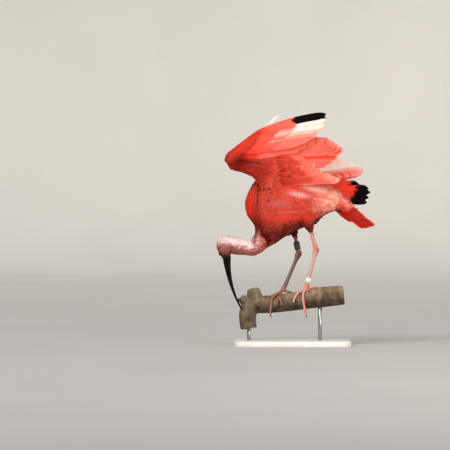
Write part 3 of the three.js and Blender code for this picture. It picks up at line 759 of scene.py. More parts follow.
def torso_rings(less, around=48):
    """The torso: ellipses between the dorsal and the ventral line, through the table's nine sections."""
    t = spline(mm(TORSO), 60)
    zero = np.zeros(len(t))
    top = np.stack([t[:, 0], zero, t[:, 1]], axis=1)
    low = np.stack([t[:, 2], zero, t[:, 3]], axis=1)
    up = (top - low) / 2
    up = unit(up) * np.maximum(np.linalg.norm(up, axis=1, keepdims=True) - less, 0.004)
    side = np.stack([zero, np.maximum(t[:, 4] - less, 0.004), zero], axis=1)
    return ellipse_rings((top + low) / 2, up, side, around)


def head_rings(less, around=40):
    """The head: ellipses in the head's own rolled frame, from nape to bill."""
    t = spline(mm(HEAD), 40)
    return ellipse_rings(t[:, :3], CROWN * (t[:, 3:4] - less), LEFTWARD * (t[:, 4:5] - less), around)


def tail_cone_rings(less):
    """The tail's covert plumage: ellipses that turn from level to the tail's roll."""
    rows = spline(mm([[-10, 19, 16], [4, 24.5, 21], [24, 18, 18], [38, 9, 12], [46, 4, 6]]), 24)
    share = np.linspace(0, 1, 24)
    side = turn(np.array([0, 1.0, 0]) - TAIL_AXIS * TAIL_AXIS[1], TAIL_AXIS, TAIL_ROLL * share)
    side = unit(side)
    up = np.cross(side, TAIL_AXIS)
    at = TAIL_ROOT + TAIL_AXIS * rows[:, :1]
    return ellipse_rings(at, up * (rows[:, 1:2] - less), side * np.maximum(rows[:, 2:3] - less, 0.002), 32)


def wing_flesh(wing, less):
    """The wing's bones and muscle: upper arm, forearm, hand, and the web between them as a smooth plate."""
    plane = wing["plane"]
    elbow, wrist = plane.spot(mm([wing["elbow"], wing["wrist"]]), ARM_LEVEL * MM)
    hand_root, hand_end = plane.spot(mm([wing["wrist"], wing["hand_tip"]]), HAND_LEVEL * MM)
    shoulder = mm(wing["shoulder"])

    def bone(start, end, rows):
        """[share, half breadth, half thickness] rows along a straight line in the plane."""
        rows = spline(np.array(rows, float), 20)
        across = unit(np.cross(end - start, plane.normal))
        at = start + (end - start) * rows[:, :1]
        up = across * np.maximum(rows[:, 1:2] * MM - less, 0.001)
        side = plane.normal * np.maximum(rows[:, 2:3] * MM - less, 0.001)
        return tube(ellipse_rings(at, up, side, 24))

    parts = [
        bone(shoulder, elbow, [[0, 20, 12], [0.5, 17, 10], [1, 13, 9]]),
        bone(elbow, wrist, [[-0.1, 6, 5], [0, 13, 9], [0.5, 14, 8], [1, 12, 7]]),
        bone(
            hand_root, hand_end,
            [[-0.14, 9, 6], [0, 17, 10], [0.3, 16, 9], [0.7, 12, 8], [1, 8, 6.5], [1.12, 3, 3]],
        ),
    ]
    # The web: its outline shrunk towards its middle, ring by ring, as its thickness falls to the edge
    edge = spline(mm(wing["web"] + wing["web"][:1]), 73)[:-1]
    middle = edge.mean(axis=0)
    shares = np.array([0.35, 0.75, 0.93, 1.0, 1.03, 1.0, 0.93, 0.75, 0.35])
    heights = np.array([5.5, 5.5, 5.0, 3.4, 0.0, -3.4, -5.0, -5.5, -5.5])
    heights = heights - np.sign(np.arange(4, -5, -1)) * less / MM
    rings = [
        plane.spot(middle + (edge - middle) * share, (ARM_LEVEL + height) * MM)
        for share, height in zip(shares, heights)
    ]
    parts.append(tube(np.array(rings)))
    return parts


def make_skin():
    """One skin: the flesh's tubes joined, then remeshed on a fine lattice into a single seamless surface.

    Along the seam between wing and body each point is then moved to its neighbours' mean, many times over.
    """
    parts = [
        tube(torso_rings(COAT_BODY)),
        tube(limb(mm(NECK), 60, around=36, less=COAT_NECK)),
        tube(head_rings(COAT_HEAD)),
        tube(tail_cone_rings(0.003)),
    ]
    for leg in LEGS.values():
        parts.append(tube(limb(mm(leg["thigh"]), 30, around=28, less=COAT_THIGH)))
    for wing in WINGS.values():
        parts += wing_flesh(wing, COAT_WING)
    points, faces = join(parts)
    obj = piece("skin", points, faces)
    made = fuse(obj, SKIN_VOXEL, 6)
    p = read(made.vertices, "co", 3)
    edges = read(made.edges, "vertices", 2, np.int32)
    share = np.zeros(len(p))
    for wing in WINGS.values():
        seam = wing["plane"].spot(mm(wing["seam"]), ARM_LEVEL * MM)
        for a, b in zip(seam[:-1], seam[1:]):
            gap, _ = near_segment(p, a, b)
            share = np.maximum(share, np.clip((SEAM_REACH - gap) / SEAM_FADE, 0, 1))
    for _ in range(SEAM_PASSES):
        p = p + (neighbour_mean(p, edges) - p) * share[:, None]
    made.vertices.foreach_set("co", p.ravel())
    return obj


def unwrap(obj):
    """Gives the skin its own map, laid out by its shape, and returns each triangle's corners on it."""
    mesh = obj.data
    bpy.context.view_layer.objects.active = obj
    obj.select_set(True)
    mesh.uv_layers.new(name="OFBake")
    bpy.ops.object.mode_set(mode="EDIT")
    bpy.ops.mesh.select_all(action="SELECT")
    bpy.ops.uv.smart_project(angle_limit=1.15, island_margin=0.004, scale_to_bounds=True)
    bpy.ops.object.mode_set(mode="OBJECT")
    obj.select_set(False)
    mesh.calc_loop_triangles()
    loops = read(mesh.loop_triangles, "loops", 3, np.int32)
    uv = read(mesh.uv_layers["OFBake"].data, "uv", 2, np.float32)
    return read(mesh.loop_triangles, "vertices", 3, np.int32), uv[loops]


# How the plumage lies: guides, each a place, a direction and the size of the feathers there

def guide_rows():
    """Guides [x, y, z, direction x, y, z, length, width, lift, spacing], sizes in millimetres."""
    rows = []

    def guide(places, ways, length, width, lift, spacing):
        """Adds guides of one size at places, each with its way or all with one."""
        places = np.atleast_2d(places)
        ways = np.broadcast_to(unit(ways), places.shape)
        sizes = np.broadcast_to([length, width, lift, spacing], (len(places), 4))
        rows.append(np.hstack([places, ways, sizes]))

    # Torso: spreading from the base of the neck, then back along the body to the tail
    rings = torso_rings(0)[4:-1:5, ::4].reshape(-1, 3)
    base = mm([-74, 0, 290])
    off = rings - base
    near = np.exp(-np.linalg.norm(off, axis=1) / 0.11)[:, None]
    guide(rings, unit(off) * near + np.array([0.96, 0, -0.28]) * (1 - near), 23, 12, 0.028, 3.9)
    # Neck and head: from the bill back to the body
    fine = spline(mm(NECK), 40)
    up, side, ahead = limb_axes(fine[:, :3], (0, 1, 0))
    for a in circle(8):
        at = fine[:, :3] + up * fine[:, 3:4] * math.cos(a) + side * fine[:, 4:5] * math.sin(a)
        guide(at[4:14], -ahead[4:14], 13, 6.5, 0.035, 2.8)
        guide(at[14:30], -ahead[14:30], 8.0, 3.8, 0.05, 2.0)
        guide(at[30:], -ahead[30:], 6.0, 2.8, 0.05, 1.7)
    rings = head_rings(0)[:, ::5]
    guide(rings[6:20].reshape(-1, 3), -FORWARD + np.array([0.25, 0, 0]), 5.4, 2.6, 0.045, 1.55)
    guide(rings[20:].reshape(-1, 3), -FORWARD, 3.4, 1.9, 0.05, 1.3)
    # Thighs: down the leg and a little back
    for leg in LEGS.values():
        fine = spline(mm(leg["thigh"]), 12)
        up, side, ahead = limb_axes(fine[:, :3], (0, 1, 0))
        for a in circle(6):
            at = fine[:, :3] + up * fine[:, 3:4] * math.cos(a) + side * fine[:, 4:5] * math.sin(a)
            guide(at[3:8], ahead[3:8] + np.array([0.2, 0, 0]), 17, 8.5, 0.03, 3.5)
            guide(at[8:], ahead[8:], 11, 5.5, 0.03, 2.7)
    # Tail coverts
    rings = tail_cone_rings(0)[4::4, ::4].reshape(-1, 3)
    guide(rings, TAIL_AXIS, 21, 10, 0.025, 3.7)
    # Wings: as the flight feathers lie, small along the leading edge
    for wing in WINGS.values():
        plane = wing["plane"]
        for kind, first, size in (("primary", HAND_LEVEL, 17), ("secondary", ARM_LEVEL, 19)):
            roots, tips = roots_and_tips(wing, kind, kind, 7)
            ways = plane.spot(tips, 0) - plane.spot(roots, 0)
            for back in (-0.02, 0.0, 0.02, 0.045):
                for level in (-9, 9):
                    at = plane.spot(roots + unit(tips - roots) * back, (first + level) * MM)
                    scale = 0.55 + 12 * max(back, 0)
                    guide(at, ways, size * scale, size * scale * 0.5, 0.025, 2.9)
        roots, tips = roots_and_tips(wing, "axillary", "axillary", 5)
        ways = plane.spot(tips, 0) - plane.spot(roots, 0)
        for back in (-0.05, -0.025, 0.0):
            for level in (-6, 6):
                at = plane.spot(roots + unit(tips - roots) * back, (ARM_LEVEL + level) * MM)
                guide(at, ways, 20, 10, 0.025, 3.6)
    return np.vstack(rows)


GUIDES = guide_rows()


def read_guides(points):
    """Direction and sizes at each point: the guides' values, weighed by 1 / distance to the fourth power."""
    batch = 4000
    out = np.empty((len(points), 7))
    for start in range(0, len(points), batch):
        p = points[start : start + batch]
        gap = ((p[:, None] - GUIDES[None, :, :3]) ** 2).sum(axis=2) + 4e-6
        weight = 1 / gap**2
        out[start : start + batch] = weight @ GUIDES[:, 3:] / weight.sum(axis=1, keepdims=True)
    return out[:, :3], out[:, 3:]


# Where each place on the bird is

def near_segment(p, a, b):
    """Distance from points to the line between two places, and the share along it."""
    line = b - a
    share = np.clip(((p - a) @ line) / (line @ line), 0, 1)
    return np.linalg.norm(p - a - share[:, None] * line, axis=1), share


def neck_share(p):
    """How far along the neck each point is nearest to, 0 at the breast and 1 at the head, and how near."""
    fine = spline(mm(NECK), 60)[:, :3]
    gap = np.linalg.norm(p[:, None] - fine[None], axis=2)
    return gap.argmin(axis=1) / 59, gap.min(axis=1)


def bare_face(p):
    """1 on the naked skin between eye, bill and chin, 0 on feathers."""
    down, up = (p - EYE_LEVEL) @ FORWARD, (p - EYE_LEVEL) @ CROWN
    front = np.clip((down - 0.001 - np.maximum(up, 0) * 0.35) / 0.005, 0, 1)
    ring = np.minimum(*(np.linalg.norm(p - eye_centre(side), axis=1) for side in (1, -1)))
    rim = np.clip((0.0088 - ring) / 0.0015, 0, 1)
    return np.maximum(front, rim) * (p[:, 0] < -0.13)


def lores(p):
    """1 on the dark stripe of skin from each eye to the corner of the bill, 0 away from it."""
    best = np.zeros(len(p))
    for side in (1, -1):
        corner = BILL_BASE + LEFTWARD * side * 8 * MM + CROWN * 3 * MM
        gap, _ = near_segment(p, eye_centre(side), corner)
        best = np.maximum(best, np.clip((0.0085 - gap) / 0.003, 0, 1))
    down = (p - BILL_BASE) @ FORWARD
    return np.maximum(best, np.clip((down + 0.0075) / 0.003, 0, 1)) * (p[:, 0] < -0.14)


# Soft marks on the near side, several of them painted shade or painted light: x, z, half length and half
# width in mm, turn in degrees, colour, strength
MARKS = [
    (-120, 524, 52, 20, 40, WING_RED, 0.55),  # brighter red over the wrist and the hand's edge: the wing feathers' own colour, and a painted highlight on their upper side
    (-126, 531, 11, 3.6, 40, PALE, 0.7),  # a painted highlight on that edge
    (-108, 364, 60, 12, 88, WING_RED, 0.85),  # painted light on the front of the breast, which turns away from the lamps
    (-101, 474, 38, 3.0, -7, MAROON, 0.9),  # painted shade in the crease below the wrist
    (-92, 470, 15, 2.0, -12, NECK_GREY, 0.45),  # grey down that shows in it
    (-63, 446, 10, 1.8, 15, MAROON, 0.6),  # painted shade in a short crease below that
    (-80, 456, 36, 20, -25, DEEP, 0.6),  # shaded hollow between wrist and shoulder
    (-128, 470, 28, 24, -55, DEEP, 0.8),  # shaded underside of the wrist
    (-84, 385, 42, 3.5, 86, DEEP, 0.65),  # painted shade in the fold between breast and shoulder
    (-55, 406, 6, 2.2, -25, MAROON, 0.9),  # painted shade in three gaps where the side's feathers part
    (-51, 395, 3.4, 2.6, 60, MAROON, 0.85),
    (-56, 375, 6, 2.4, 30, MAROON, 0.9),
    (-30, 368, 30, 9, -4, NECK_GREY, 0.32),  # greyer down that shows on the side
    (22, 391, 27, 7, -10, LILAC, 0.6),  # silky patch on the flank
    (22, 400, 32, 3.0, -8, CORAL, 0.5),
    (66, 406, 34, 9, -12, PALE, 0.6),  # cream side of the rump
    (-82, 286, 5, 15, 0, PALE, 0.35),  # pale front of the neck's foot
    (-4, 346, 36, 2.6, 3, ROSE, 0.5),  # pale lower border of the side's feathers
    (0, 332, 60, 9, 4, WING_RED, 0.45),  # smooth bright belly feathers below it
]


def marked(p, colour):
    """The soft marks laid over a colour: each fades as exp(-r cubed) with r its own elliptic radius.

    All of them fade out over 50 mm across the bird's middle.
    """
    x, z = p[:, 0] / MM, p[:, 2] / MM + 1.6 * ripple(p, 61, 0.012)
    near_side = np.clip(0.5 - p[:, 1] / 0.05, 0, 1)
    for cx, cz, long, wide, angle, ink, strength in MARKS:
        a = math.radians(angle)
        u = ((x - cx) * math.cos(a) + (z - cz) * math.sin(a)) / long
        v = ((z - cz) * math.cos(a) - (x - cx) * math.sin(a)) / wide
        share = np.exp(-((u * u + v * v) ** 1.5)) * strength * near_side
        colour = blend(colour, ink, share)
    return colour


def painted_belly_shade(p):
    """The share of painted shade on the belly: 1 at the ventral line and 0 above a height that falls towards
    the tail.
    """
    x, z = p[:, 0] / MM, p[:, 2] / MM
    line = np.interp(x, [-90, -62, 0, 57, 99, 123, 160], [262, 248, 288, 308, 339, 349, 330])
    reach = np.interp(x, [-90, 0, 60, 130], [66, 52, 34, 18])
    return np.clip((reach - (z - line)) / (0.7 * reach), 0, 1)


def neck_colour(p, normal, share, rng):
    """Pale, grey and brown, speckled; near white where it faces up and browner where it faces down, a painted
    light and shade; redder towards the body, and dark towards the bill.
    """
    n = len(p)
    x, _, z = p.T / MM
    # Painted light: the neck is paler where it faces up, and greyer and browner where it faces down
    lit = np.clip(0.5 + 1.1 * normal[:, 2] + 0.16 * ripple(p, 8, 0.009) + rng.normal(0, 0.13, n), 0, 1)
    neck = blend(NECK_GREY, NECK_PALE, np.clip(lit * 1.25, 0, 1))
    neck = blend(neck, NECK_BROWN, np.clip(0.55 - lit, 0, 1) * rng.uniform(0.4, 1.6, n))
    speck = rng.uniform(size=n) < 0.10 + 0.28 * (1 - lit)
    dark = blend(NECK_RED, NECK_BROWN, rng.uniform(0, 0.8, n))
    neck = blend(neck, dark, speck * rng.uniform(0.25, 0.7, n))
    rosy = np.clip((0.45 - share) / 0.25, 0, 1) * 0.75
    neck = blend(neck, NECK_RED, rosy * rng.uniform(0.5, 1.1, n))
    face = np.clip((268 - z) / 16, 0, 1) * (x < -140)
    neck = blend(neck, FACE_RED, face * rng.uniform(0.4, 1.0, n))
    throat = np.clip((264 - z) / 14, 0, 1) * np.clip((x + 174) / 16, 0, 1) * (x < -122)
    neck = blend(neck, NECK_BROWN, throat * rng.uniform(0.3, 1.0, n))
    chin = np.clip((246 - z) / 12, 0, 1) * (x < -140)
    neck = blend(neck, FACE_DARK, chin * rng.uniform(0.2, 0.9, n))
    return blend(neck, LORES, lores(p) * rng.uniform(0.5, 1.0, n))


def plumage_colour(p, normal, rng):
    """The plumage's colours: scarlet over all, deep red below as a painted shade, scaly pink on rump and
    vent, and near white on the neck.
    """
    n = len(p)
    mottle = 0.5 + 0.35 * ripple(p, 5, 0.05) + rng.normal(0, 0.12, n)
    colour = blend(SCARLET, BRIGHT, mottle)
    # Painted shade: deep red, then darker, on the belly and where the feathers face down
    shade = np.clip(0.75 * painted_belly_shade(p) + 0.4 * np.clip(-normal[:, 2], 0, 1), 0, 1) * (p[:, 2] < 0.36)
    colour = blend(colour, DEEP, np.clip(shade * 1.6, 0, 1))
    colour = blend(colour, DARK, np.clip(shade * 1.5 - 0.6, 0, 1))
    # Rump, vent and undertail: pale pink scales
    x, y, z = p.T / MM
    rump = np.clip(1.25 - np.hypot((x - 102) / 62, (z - 384) / 42), 0, 1) * (y < 12) * (x > 20)
    ahead = (p - TAIL_ROOT) @ TAIL_AXIS / MM
    above = 0.62 * (x - 124) + 0.78 * (z - 374)
    rump = rump * (1 - 0.85 * np.clip((ahead - 2) / 16, 0, 1) * np.clip((9 - above) / 8, 0, 1))
    pick = rng.uniform(size=n)
    paler = np.where(pick < 0.35, 0.7, np.where(pick < 0.6, 0.2, 0.0))
    colour = blend(colour, ROSE, rump * 1.05)
    colour = blend(colour, PALE, rump * paler)
    # Neck and head, from an uneven border on
    share, gap = neck_share(p)
    border = 0.17 + rng.normal(0, 0.05, n) + 0.05 * ripple(p, 7, 0.02)
    on_neck = np.clip((share - border) / 0.16, 0, 1) * np.clip((0.06 - gap) / 0.02, 0, 1) * (x < -40)
    return blend(colour, neck_colour(p, normal, share, rng), on_neck)


# Feathers

def vanes(roots, ways, normals, lengths, widths, lifts, colours, tips, fringe, uv_roots, rng):
    """Small feathers as closed thin vanes.

    Row t of a feather stands at root + way L t + normal lift L (t - t^3 / 3), its width follows
    sin(pi (0.1 + 0.82 t)) to the power 0.6, the vane arches across its middle, and six points go round it.
    """
    n = len(roots)
    t = np.array([0.0, 0.25, 0.5, 0.74, 0.91, 1.0])
    breadth = np.sin(math.pi * (0.1 + 0.82 * t)) ** 0.6
    breadth[-1] = 0.3
    across = np.array([-1, -0.5, 0, 0.5, 1, 0.0])
    high = np.array([0, 0.75, 1, 0.75, 0, -0.35])
    sides = unit(np.cross(ways, normals))
    shift = rng.normal(0, 0.05, (n, 1))
    reach = lengths[:, None] * t[None]
    rise = (lifts * lengths)[:, None] * (t - t**3 / 3)[None] + 0.0002
    bend = (shift * lengths[:, None]) * t[None] ** 2
    middle = roots[:, None] + ways[:, None] * reach[..., None] + normals[:, None] * rise[..., None]
    middle = middle + sides[:, None] * bend[..., None]
    ragged = 1 + rng.normal(0, 0.06, (n, len(t), 1)) * (t > 0.5)[None, :, None]
    half = (widths[:, None] * breadth[None] / 2)[..., None] * ragged
    arch = 0.035 * widths[:, None, None] * breadth[None, :, None]
    points = (
        middle[:, :, None]
        + sides[:, None, None] * (half * across)[..., None]
        + normals[:, None, None] * (arch * (high - 0.6))[..., None]
    )
    count = len(t) * 6
    points = points.reshape(n, count, 3)
    tip_pole = points[:, -6:].mean(axis=1) + ways * lengths[:, None] * 0.03
    poles = np.stack([points[:, :6].mean(axis=1), tip_pole], axis=1)
    points = np.concatenate([points, poles], axis=1)
    quads, fans = grid_faces(len(t), 6)
    starts = (np.arange(n) * (count + 2))[:, None, None]
    faces = ((quads[None] + starts).reshape(-1, 4), (fans[None] + starts).reshape(-1, 3))
    share = np.concatenate([np.repeat(t, 6), [0, 1]])
    cross = np.concatenate([np.tile(across, len(t)), [0, 0]])
    toward = np.clip(share[None] * 1.3 - 0.3, 0, 1)
    tint = colours[:, None] + (tips - colours)[:, None] * toward[..., None]
    rim = np.clip(share + 0.25 * np.abs(cross) - 0.88, 0, 0.2) * 5
    tint = blend(tint, PALE, fringe[:, None] * rim[None])
    vane_map = np.stack([cross[None] * widths[:, None] / 2, share[None] * lengths[:, None]], axis=-1)
    patch = np.stack([cross * 0.5, share - 0.5], axis=-1) * BAKE_PATCH
    bake = uv_roots[:, None] + patch[None]
    maps = {"Vane": flatten(vane_map), "OFBake": np.clip(flatten(bake), 0, 1)}
    rails = np.tile(np.concatenate([np.tile([1, 0, 0, 0, 2, 0], len(t)), [0, 0]]), n)
    return flatten(points), faces, maps, marked(flatten(points), flatten(tint)), rails


def scatter(verts, tri, uv, seed, want):
    """Feather roots on the skin by throwing darts, more where they stand closer.

    A dart nearer to an earlier one than the local spacing is dropped, so that the rest lie evenly.
    """
    rng = np.random.default_rng(seed)
    a, b, c = (verts[tri[:, i]] for i in range(3))
    area = np.linalg.norm(np.cross(b - a, c - a), axis=1) / 2
    _, sizes = read_guides((a + b + c) / 3)
    chance = area / sizes[:, 3] ** 2
    pick = rng.choice(len(tri), want, p=chance / chance.sum())
    r1, r2 = np.sqrt(rng.uniform(size=want)), rng.uniform(size=want)
    weights = np.stack([1 - r1, r1 * (1 - r2), r1 * r2], axis=1)
    points = np.einsum("nk,nkd->nd", weights, verts[tri[pick]])
    places = np.einsum("nk,nkd->nd", weights, uv[pick])
    spacing = sizes[pick, 3] * MM
    tree = KDTree(want)
    for i, point in enumerate(points):
        tree.insert(point, i)
    tree.balance()
    dropped = np.zeros(want, bool)
    for i, (point, gap) in enumerate(zip(points, spacing)):
        if dropped[i]:
            continue
        near = [j for _, j, _ in tree.find_range(point, gap) if j > i]
        dropped[near] = True
    kept = np.flatnonzero(~dropped)
    return points[kept], places[kept], pick[kept], weights[kept]


def make_coat(skin):
    """Small feathers over the whole skin, in pieces by part of the body.

    They lie in the plane of the normals' local mean, so that they bridge small steps of the skin.
    """
    mesh = skin.data
    tri, uv = unwrap(skin)
    verts = read(mesh.vertices, "co", 3)
    normals = read(mesh.vertices, "normal", 3)
    rng = np.random.default_rng(11)
    # The skin takes the plumage's colour at 0.7, a painted shade for where it shows between the feathers
    under = marked(verts, plumage_colour(verts, normals, np.random.default_rng(12))) * 0.7
    face = bare_face(verts)
    rough = 0.9 + 0.3 * ripple(verts, 31, 0.006)
    blotch = 0.4 + 0.7 * ripple(verts, 33, 0.006) + np.clip((0.241 - verts[:, 2]) / 0.013, 0, 1)
    bare = blend(blend(FACE_RED, FACE_DARK, blotch), LORES, lores(verts) * 0.95)
    under = blend(under, bare * rough[:, None], face)
    paint(mesh, under)
    mesh.materials.append(SKIN)

    points, places, pick, weights = scatter(verts, tri, uv, 21, DARTS)
    edges = read(mesh.edges, "vertices", 2, np.int32)
    calm = normals
    for _ in range(CALM_PASSES):
        calm = neighbour_mean(calm, edges)
    normal = unit(np.einsum("nk,nkd->nd", weights, calm[tri[pick]]))
    keep = bare_face(points) < 0.5
    points, places, normal = points[keep], places[keep], normal[keep]
    ways, sizes = read_guides(points)
    ways = unit(ways - normal * np.sum(ways * normal, axis=1, keepdims=True))
    ways = unit(turn(ways, normal, rng.normal(0, 0.12, len(points))))
    count = len(points)
    lengths = sizes[:, 0] * MM * rng.uniform(0.82, 1.18, count)
    widths = sizes[:, 1] * MM * rng.uniform(0.85, 1.15, count)
    lifts = sizes[:, 2] * rng.uniform(0.7, 1.5, count)
    colour = plumage_colour(points, normal, rng)
    shade = rng.uniform(0.93, 1.05, (count, 1))
    colour, tip = colour * shade * 0.96, blend(colour, PINK, rng.uniform(0.0, 0.08, count)) * shade
    x, y, z = points.T / MM
    share, gap = neck_share(points)
    on_neck = (share > 0.14) & (gap < 0.05) & (x < -64)
    rump = np.clip(1.2 - np.hypot((x - 105) / 60, (z - 380) / 42), 0, 1)
    fringe = rng.uniform(0, 0.08, count) + 0.5 * rump
    fringe = np.where(on_neck, rng.uniform(0, 0.3, count), fringe)
    # Pieces: neck and head, wings, then the body from front to back
    on_wing = ~on_neck & (((y < -45) & (z > 440)) | (y > 62))
    order = np.lexsort((x, np.where(on_neck, 0, np.where(on_wing, 1, 2))))
    groups = {"neck_head": on_neck[order], "wings": on_wing[order], "body": ~(on_neck | on_wing)[order]}
    for name, mask in groups.items():
        members = order[mask]
        pieces = math.ceil(len(members) / FEATHERS_A_PIECE)
        for number, part in enumerate(np.array_split(members, pieces)):
            p, faces, maps, tint, rails = vanes(
                points[part], ways[part], normal[part], lengths[part], widths[part], lifts[part],
                colour[part], tip[part], fringe[part], places[part], rng,
            )
            obj = piece(f"coat_{name}_{number + 1}", p, faces, maps, tint)
            crease(obj.data, rails)
            obj.data.materials.append(BODY_FEATHER)
            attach(obj, "root")


skin = make_skin()
make_coat(skin)
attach(skin, "root")
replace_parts(skin, "torso", "neck_lower", "neck_upper", "head", "thigh_left", "thigh_right")


# Flight feathers, long coverts and tail

def long_feathers(name, rows, seed):
    """Long feathers as closed vanes with a raised shaft, from a list of tiers, each a dict of arrays.

    t runs from root to tip and s across, from -1 to 1. The width grows over the first third and ends in a
    rounded tip, an ellipse over the last share given by point. The vane arches by s squared, its edge is
    drawn in where it has split, and the shaft is a ridge exp(-(s / 0.09) squared) that thins to the tip.
    """
    rng = np.random.default_rng(seed)
    root, tip, normal = (np.vstack([r[k] for r in rows]) for k in ("root", "tip", "normal"))

    def number(key):
        """One number for each feather."""
        return np.concatenate([np.broadcast_to(r[key], len(r["root"])) for r in rows]).astype(float)

    def tint(key):
        """One colour for each feather."""
        return np.vstack([np.broadcast_to(r[key], (len(r["root"]), 3)) for r in rows])[:, None]

    width, bow, sweep, tilt, lead = (number(k) for k in ("width", "bow", "sweep", "tilt", "lead"))
    point, ink, ink_trail = (number(k) for k in ("point", "ink", "ink_trail"))
    split, blush = number("split"), number("blush")
    n = len(root)
    t = np.linspace(0, 1, 26) ** 0.9
    s = np.array([-1, -0.86, -0.5, -0.12, 0, 0.12, 0.5, 0.86, 1.0])
    line = tip - root
    length = np.linalg.norm(line, axis=1)
    ahead = line / length[:, None]
    side = unit(turn(unit(np.cross(ahead, normal)), ahead, np.radians(tilt)))
    face = unit(np.cross(side, ahead))
    shape = np.clip(0.32 + 1.5 * t, 0, 1)[None] * np.ones((n, 1))
    end = np.clip((1 - t)[None] / point[:, None], 0, 1)
    shape = shape * np.sqrt(np.clip(1 - (1 - end) ** 2, 0, 1)) * 0.97 + 0.03
    half = width[:, None] / 2 * shape
    notch = np.ones((n, len(t), len(s)))
    for edge, inner in ((0, 1), (8, 7)):
        row = rng.integers(9, len(t) - 2, n)
        depth = 1 - rng.uniform(0.05, 0.4, n) * split
        notch[np.arange(n), row, edge] = depth
        notch[np.arange(n), row, inner] = 0.5 + depth / 2
    spread = np.where(s < 0, lead[:, None], 2 - lead[:, None])[:, None, :] * s * notch
    arch = -(s**2)[None, None] * 0.07 * half[..., None]
    middle = (
        root[:, None]
        + line[:, None] * t[None, :, None]
        + normal[:, None] * (bow[:, None] * length[:, None] * t**2)[..., None]
        - side[:, None] * (sweep[:, None] * length[:, None] * 4 * t * (1 - t))[..., None]
    )
    shaft = np.clip(1.05 - t, 0.1, 1)[None, :, None] * np.exp(-((s / 0.09) ** 2))[None, None] * 0.0009
    thin = 0.00022 * np.clip(1 - s**2, 0, 1)[None, None] + shaft
    across = side[:, None, None] * (half[..., None] * spread)[..., None]
    top = middle[:, :, None] + across + face[:, None, None] * (arch + thin)[..., None]
    low = middle[:, :, None] + across + face[:, None, None] * (arch - thin)[..., None]
    ring = np.concatenate([top, low[:, :, -2:0:-1]], axis=2)
    around = ring.shape[2]
    points = ring.reshape(n, len(t) * around, 3)
    tip_pole = points[:, -around:].mean(axis=1) + line * 0.004
    poles = np.stack([points[:, :around].mean(axis=1), tip_pole], axis=1)
    points = np.concatenate([points, poles], axis=1)
    quads, fans = grid_faces(len(t), around)
    starts = (np.arange(n) * (len(t) * around + 2))[:, None, None]
    faces = ((quads[None] + starts).reshape(-1, 4), (fans[None] + starts).reshape(-1, 3))
    s_all = np.concatenate([np.tile(np.concatenate([s, s[-2:0:-1]]), len(t)), [0, 0]])
    t_all = np.concatenate([np.repeat(t, around), [0, 1]])
    # Colour: base to main over the first share given by blush, a pale shaft and rim, and black from ink on
    warm = np.clip(t_all[None] / blush[:, None], 0, 1) ** 1.4
    colour = blend(tint("base"), tint("main"), warm) * rng.uniform(0.93, 1.05, (n, 1, 1))
    shaft_line = 0.3 * np.exp(-((s_all / 0.08) ** 2)) * warm
    rim = 0.55 * np.clip((np.abs(s_all) - 0.8) / 0.2, 0, 1) + 0.9 * np.clip((t_all - 0.94) / 0.06, 0, 1)
    colour = blend(colour, tint("rim"), np.clip(shaft_line + rim[None] * warm, 0, 0.95))
    edge = np.where(s_all[None] < 0, ink[:, None], ink_trail[:, None])
    edge = edge + rng.uniform(-0.02, 0.02, (n, 1)) + 0.04 * np.abs(s_all)[None]
    colour = blend(colour, BLACK, np.clip((t_all[None] - edge) / 0.03, 0, 1))
    points = flatten(points)
    soft = 1 + 0.07 * ripple(points, 41, 0.035)
    colour = marked(points, flatten(colour) * soft[:, None])
    vane_map = np.stack([s_all[None] * width[:, None] / 2, t_all[None] * length[:, None]], axis=-1)
    columns = 12
    column, row = np.arange(n)[:, None] % columns, np.arange(n)[:, None] // columns
    tall = math.ceil(n / columns)
    bake_x = (column + 0.1 + 0.4 * (s_all + 1)[None]) / columns
    bake_y = (row + 0.03 + 0.94 * t_all[None]) / tall
    maps = {"Vane": flatten(vane_map), "OFBake": flatten(np.stack([bake_x, bake_y], axis=-1))}
    obj = piece(name, points, faces, maps, colour)
    rail = np.zeros(around, int)
    rail[[0, len(s) - 1]] = 1, 2
    crease(obj.data, np.tile(np.concatenate([np.tile(rail, len(t)), [0, 0]]), n))
    obj.data.materials.append(FLIGHT_FEATHER)
    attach(obj, "root")
    return obj


NO_INK = 2.0  # black starts at this share of the length, past the tip


def fan(wing, kind, count, level, tips=None, reach=1.0, lift=0, **look):
    """A tier of feathers in a wing: roots and tips on two curves, each tip at reach of the way out.

    The feathers' levels run from the first number in level to the second, and lift raises the tips more.
    """
    plane = wing["plane"]
    roots, ends = roots_and_tips(wing, kind, tips or kind, count)
    rng = np.random.default_rng(len(kind) * 100 + count)
    ends = roots + (ends - roots) * reach + unit(ends - roots) * rng.uniform(-0.004, 0.003, (count, 1))
    depth = np.interp(np.linspace(0, 1, count), [0, 1], level) * MM
    plain = dict(bow=0.015, sweep=wing["sweep"], tilt=wing["tilt"], lead=0.95, point=0.3)
    plain.update(ink=NO_INK, split=0.6, blush=0.5)
    row = dict(
        root=plane.spot(roots, depth),
        tip=plane.spot(ends, depth + lift * MM),
        normal=np.broadcast_to(plane.normal, (count, 3)),
        **{**plain, **look},
    )
    row.setdefault("ink_trail", row["ink"])
    return row


def beside(level, step):
    """Both ends of a level moved by a step."""
    return (level[0] + step, level[1] + step)


def fade(first, last, count):
    """Colours from first to last over a tier's feathers."""
    return blend(first, last, np.linspace(0, 1, count))


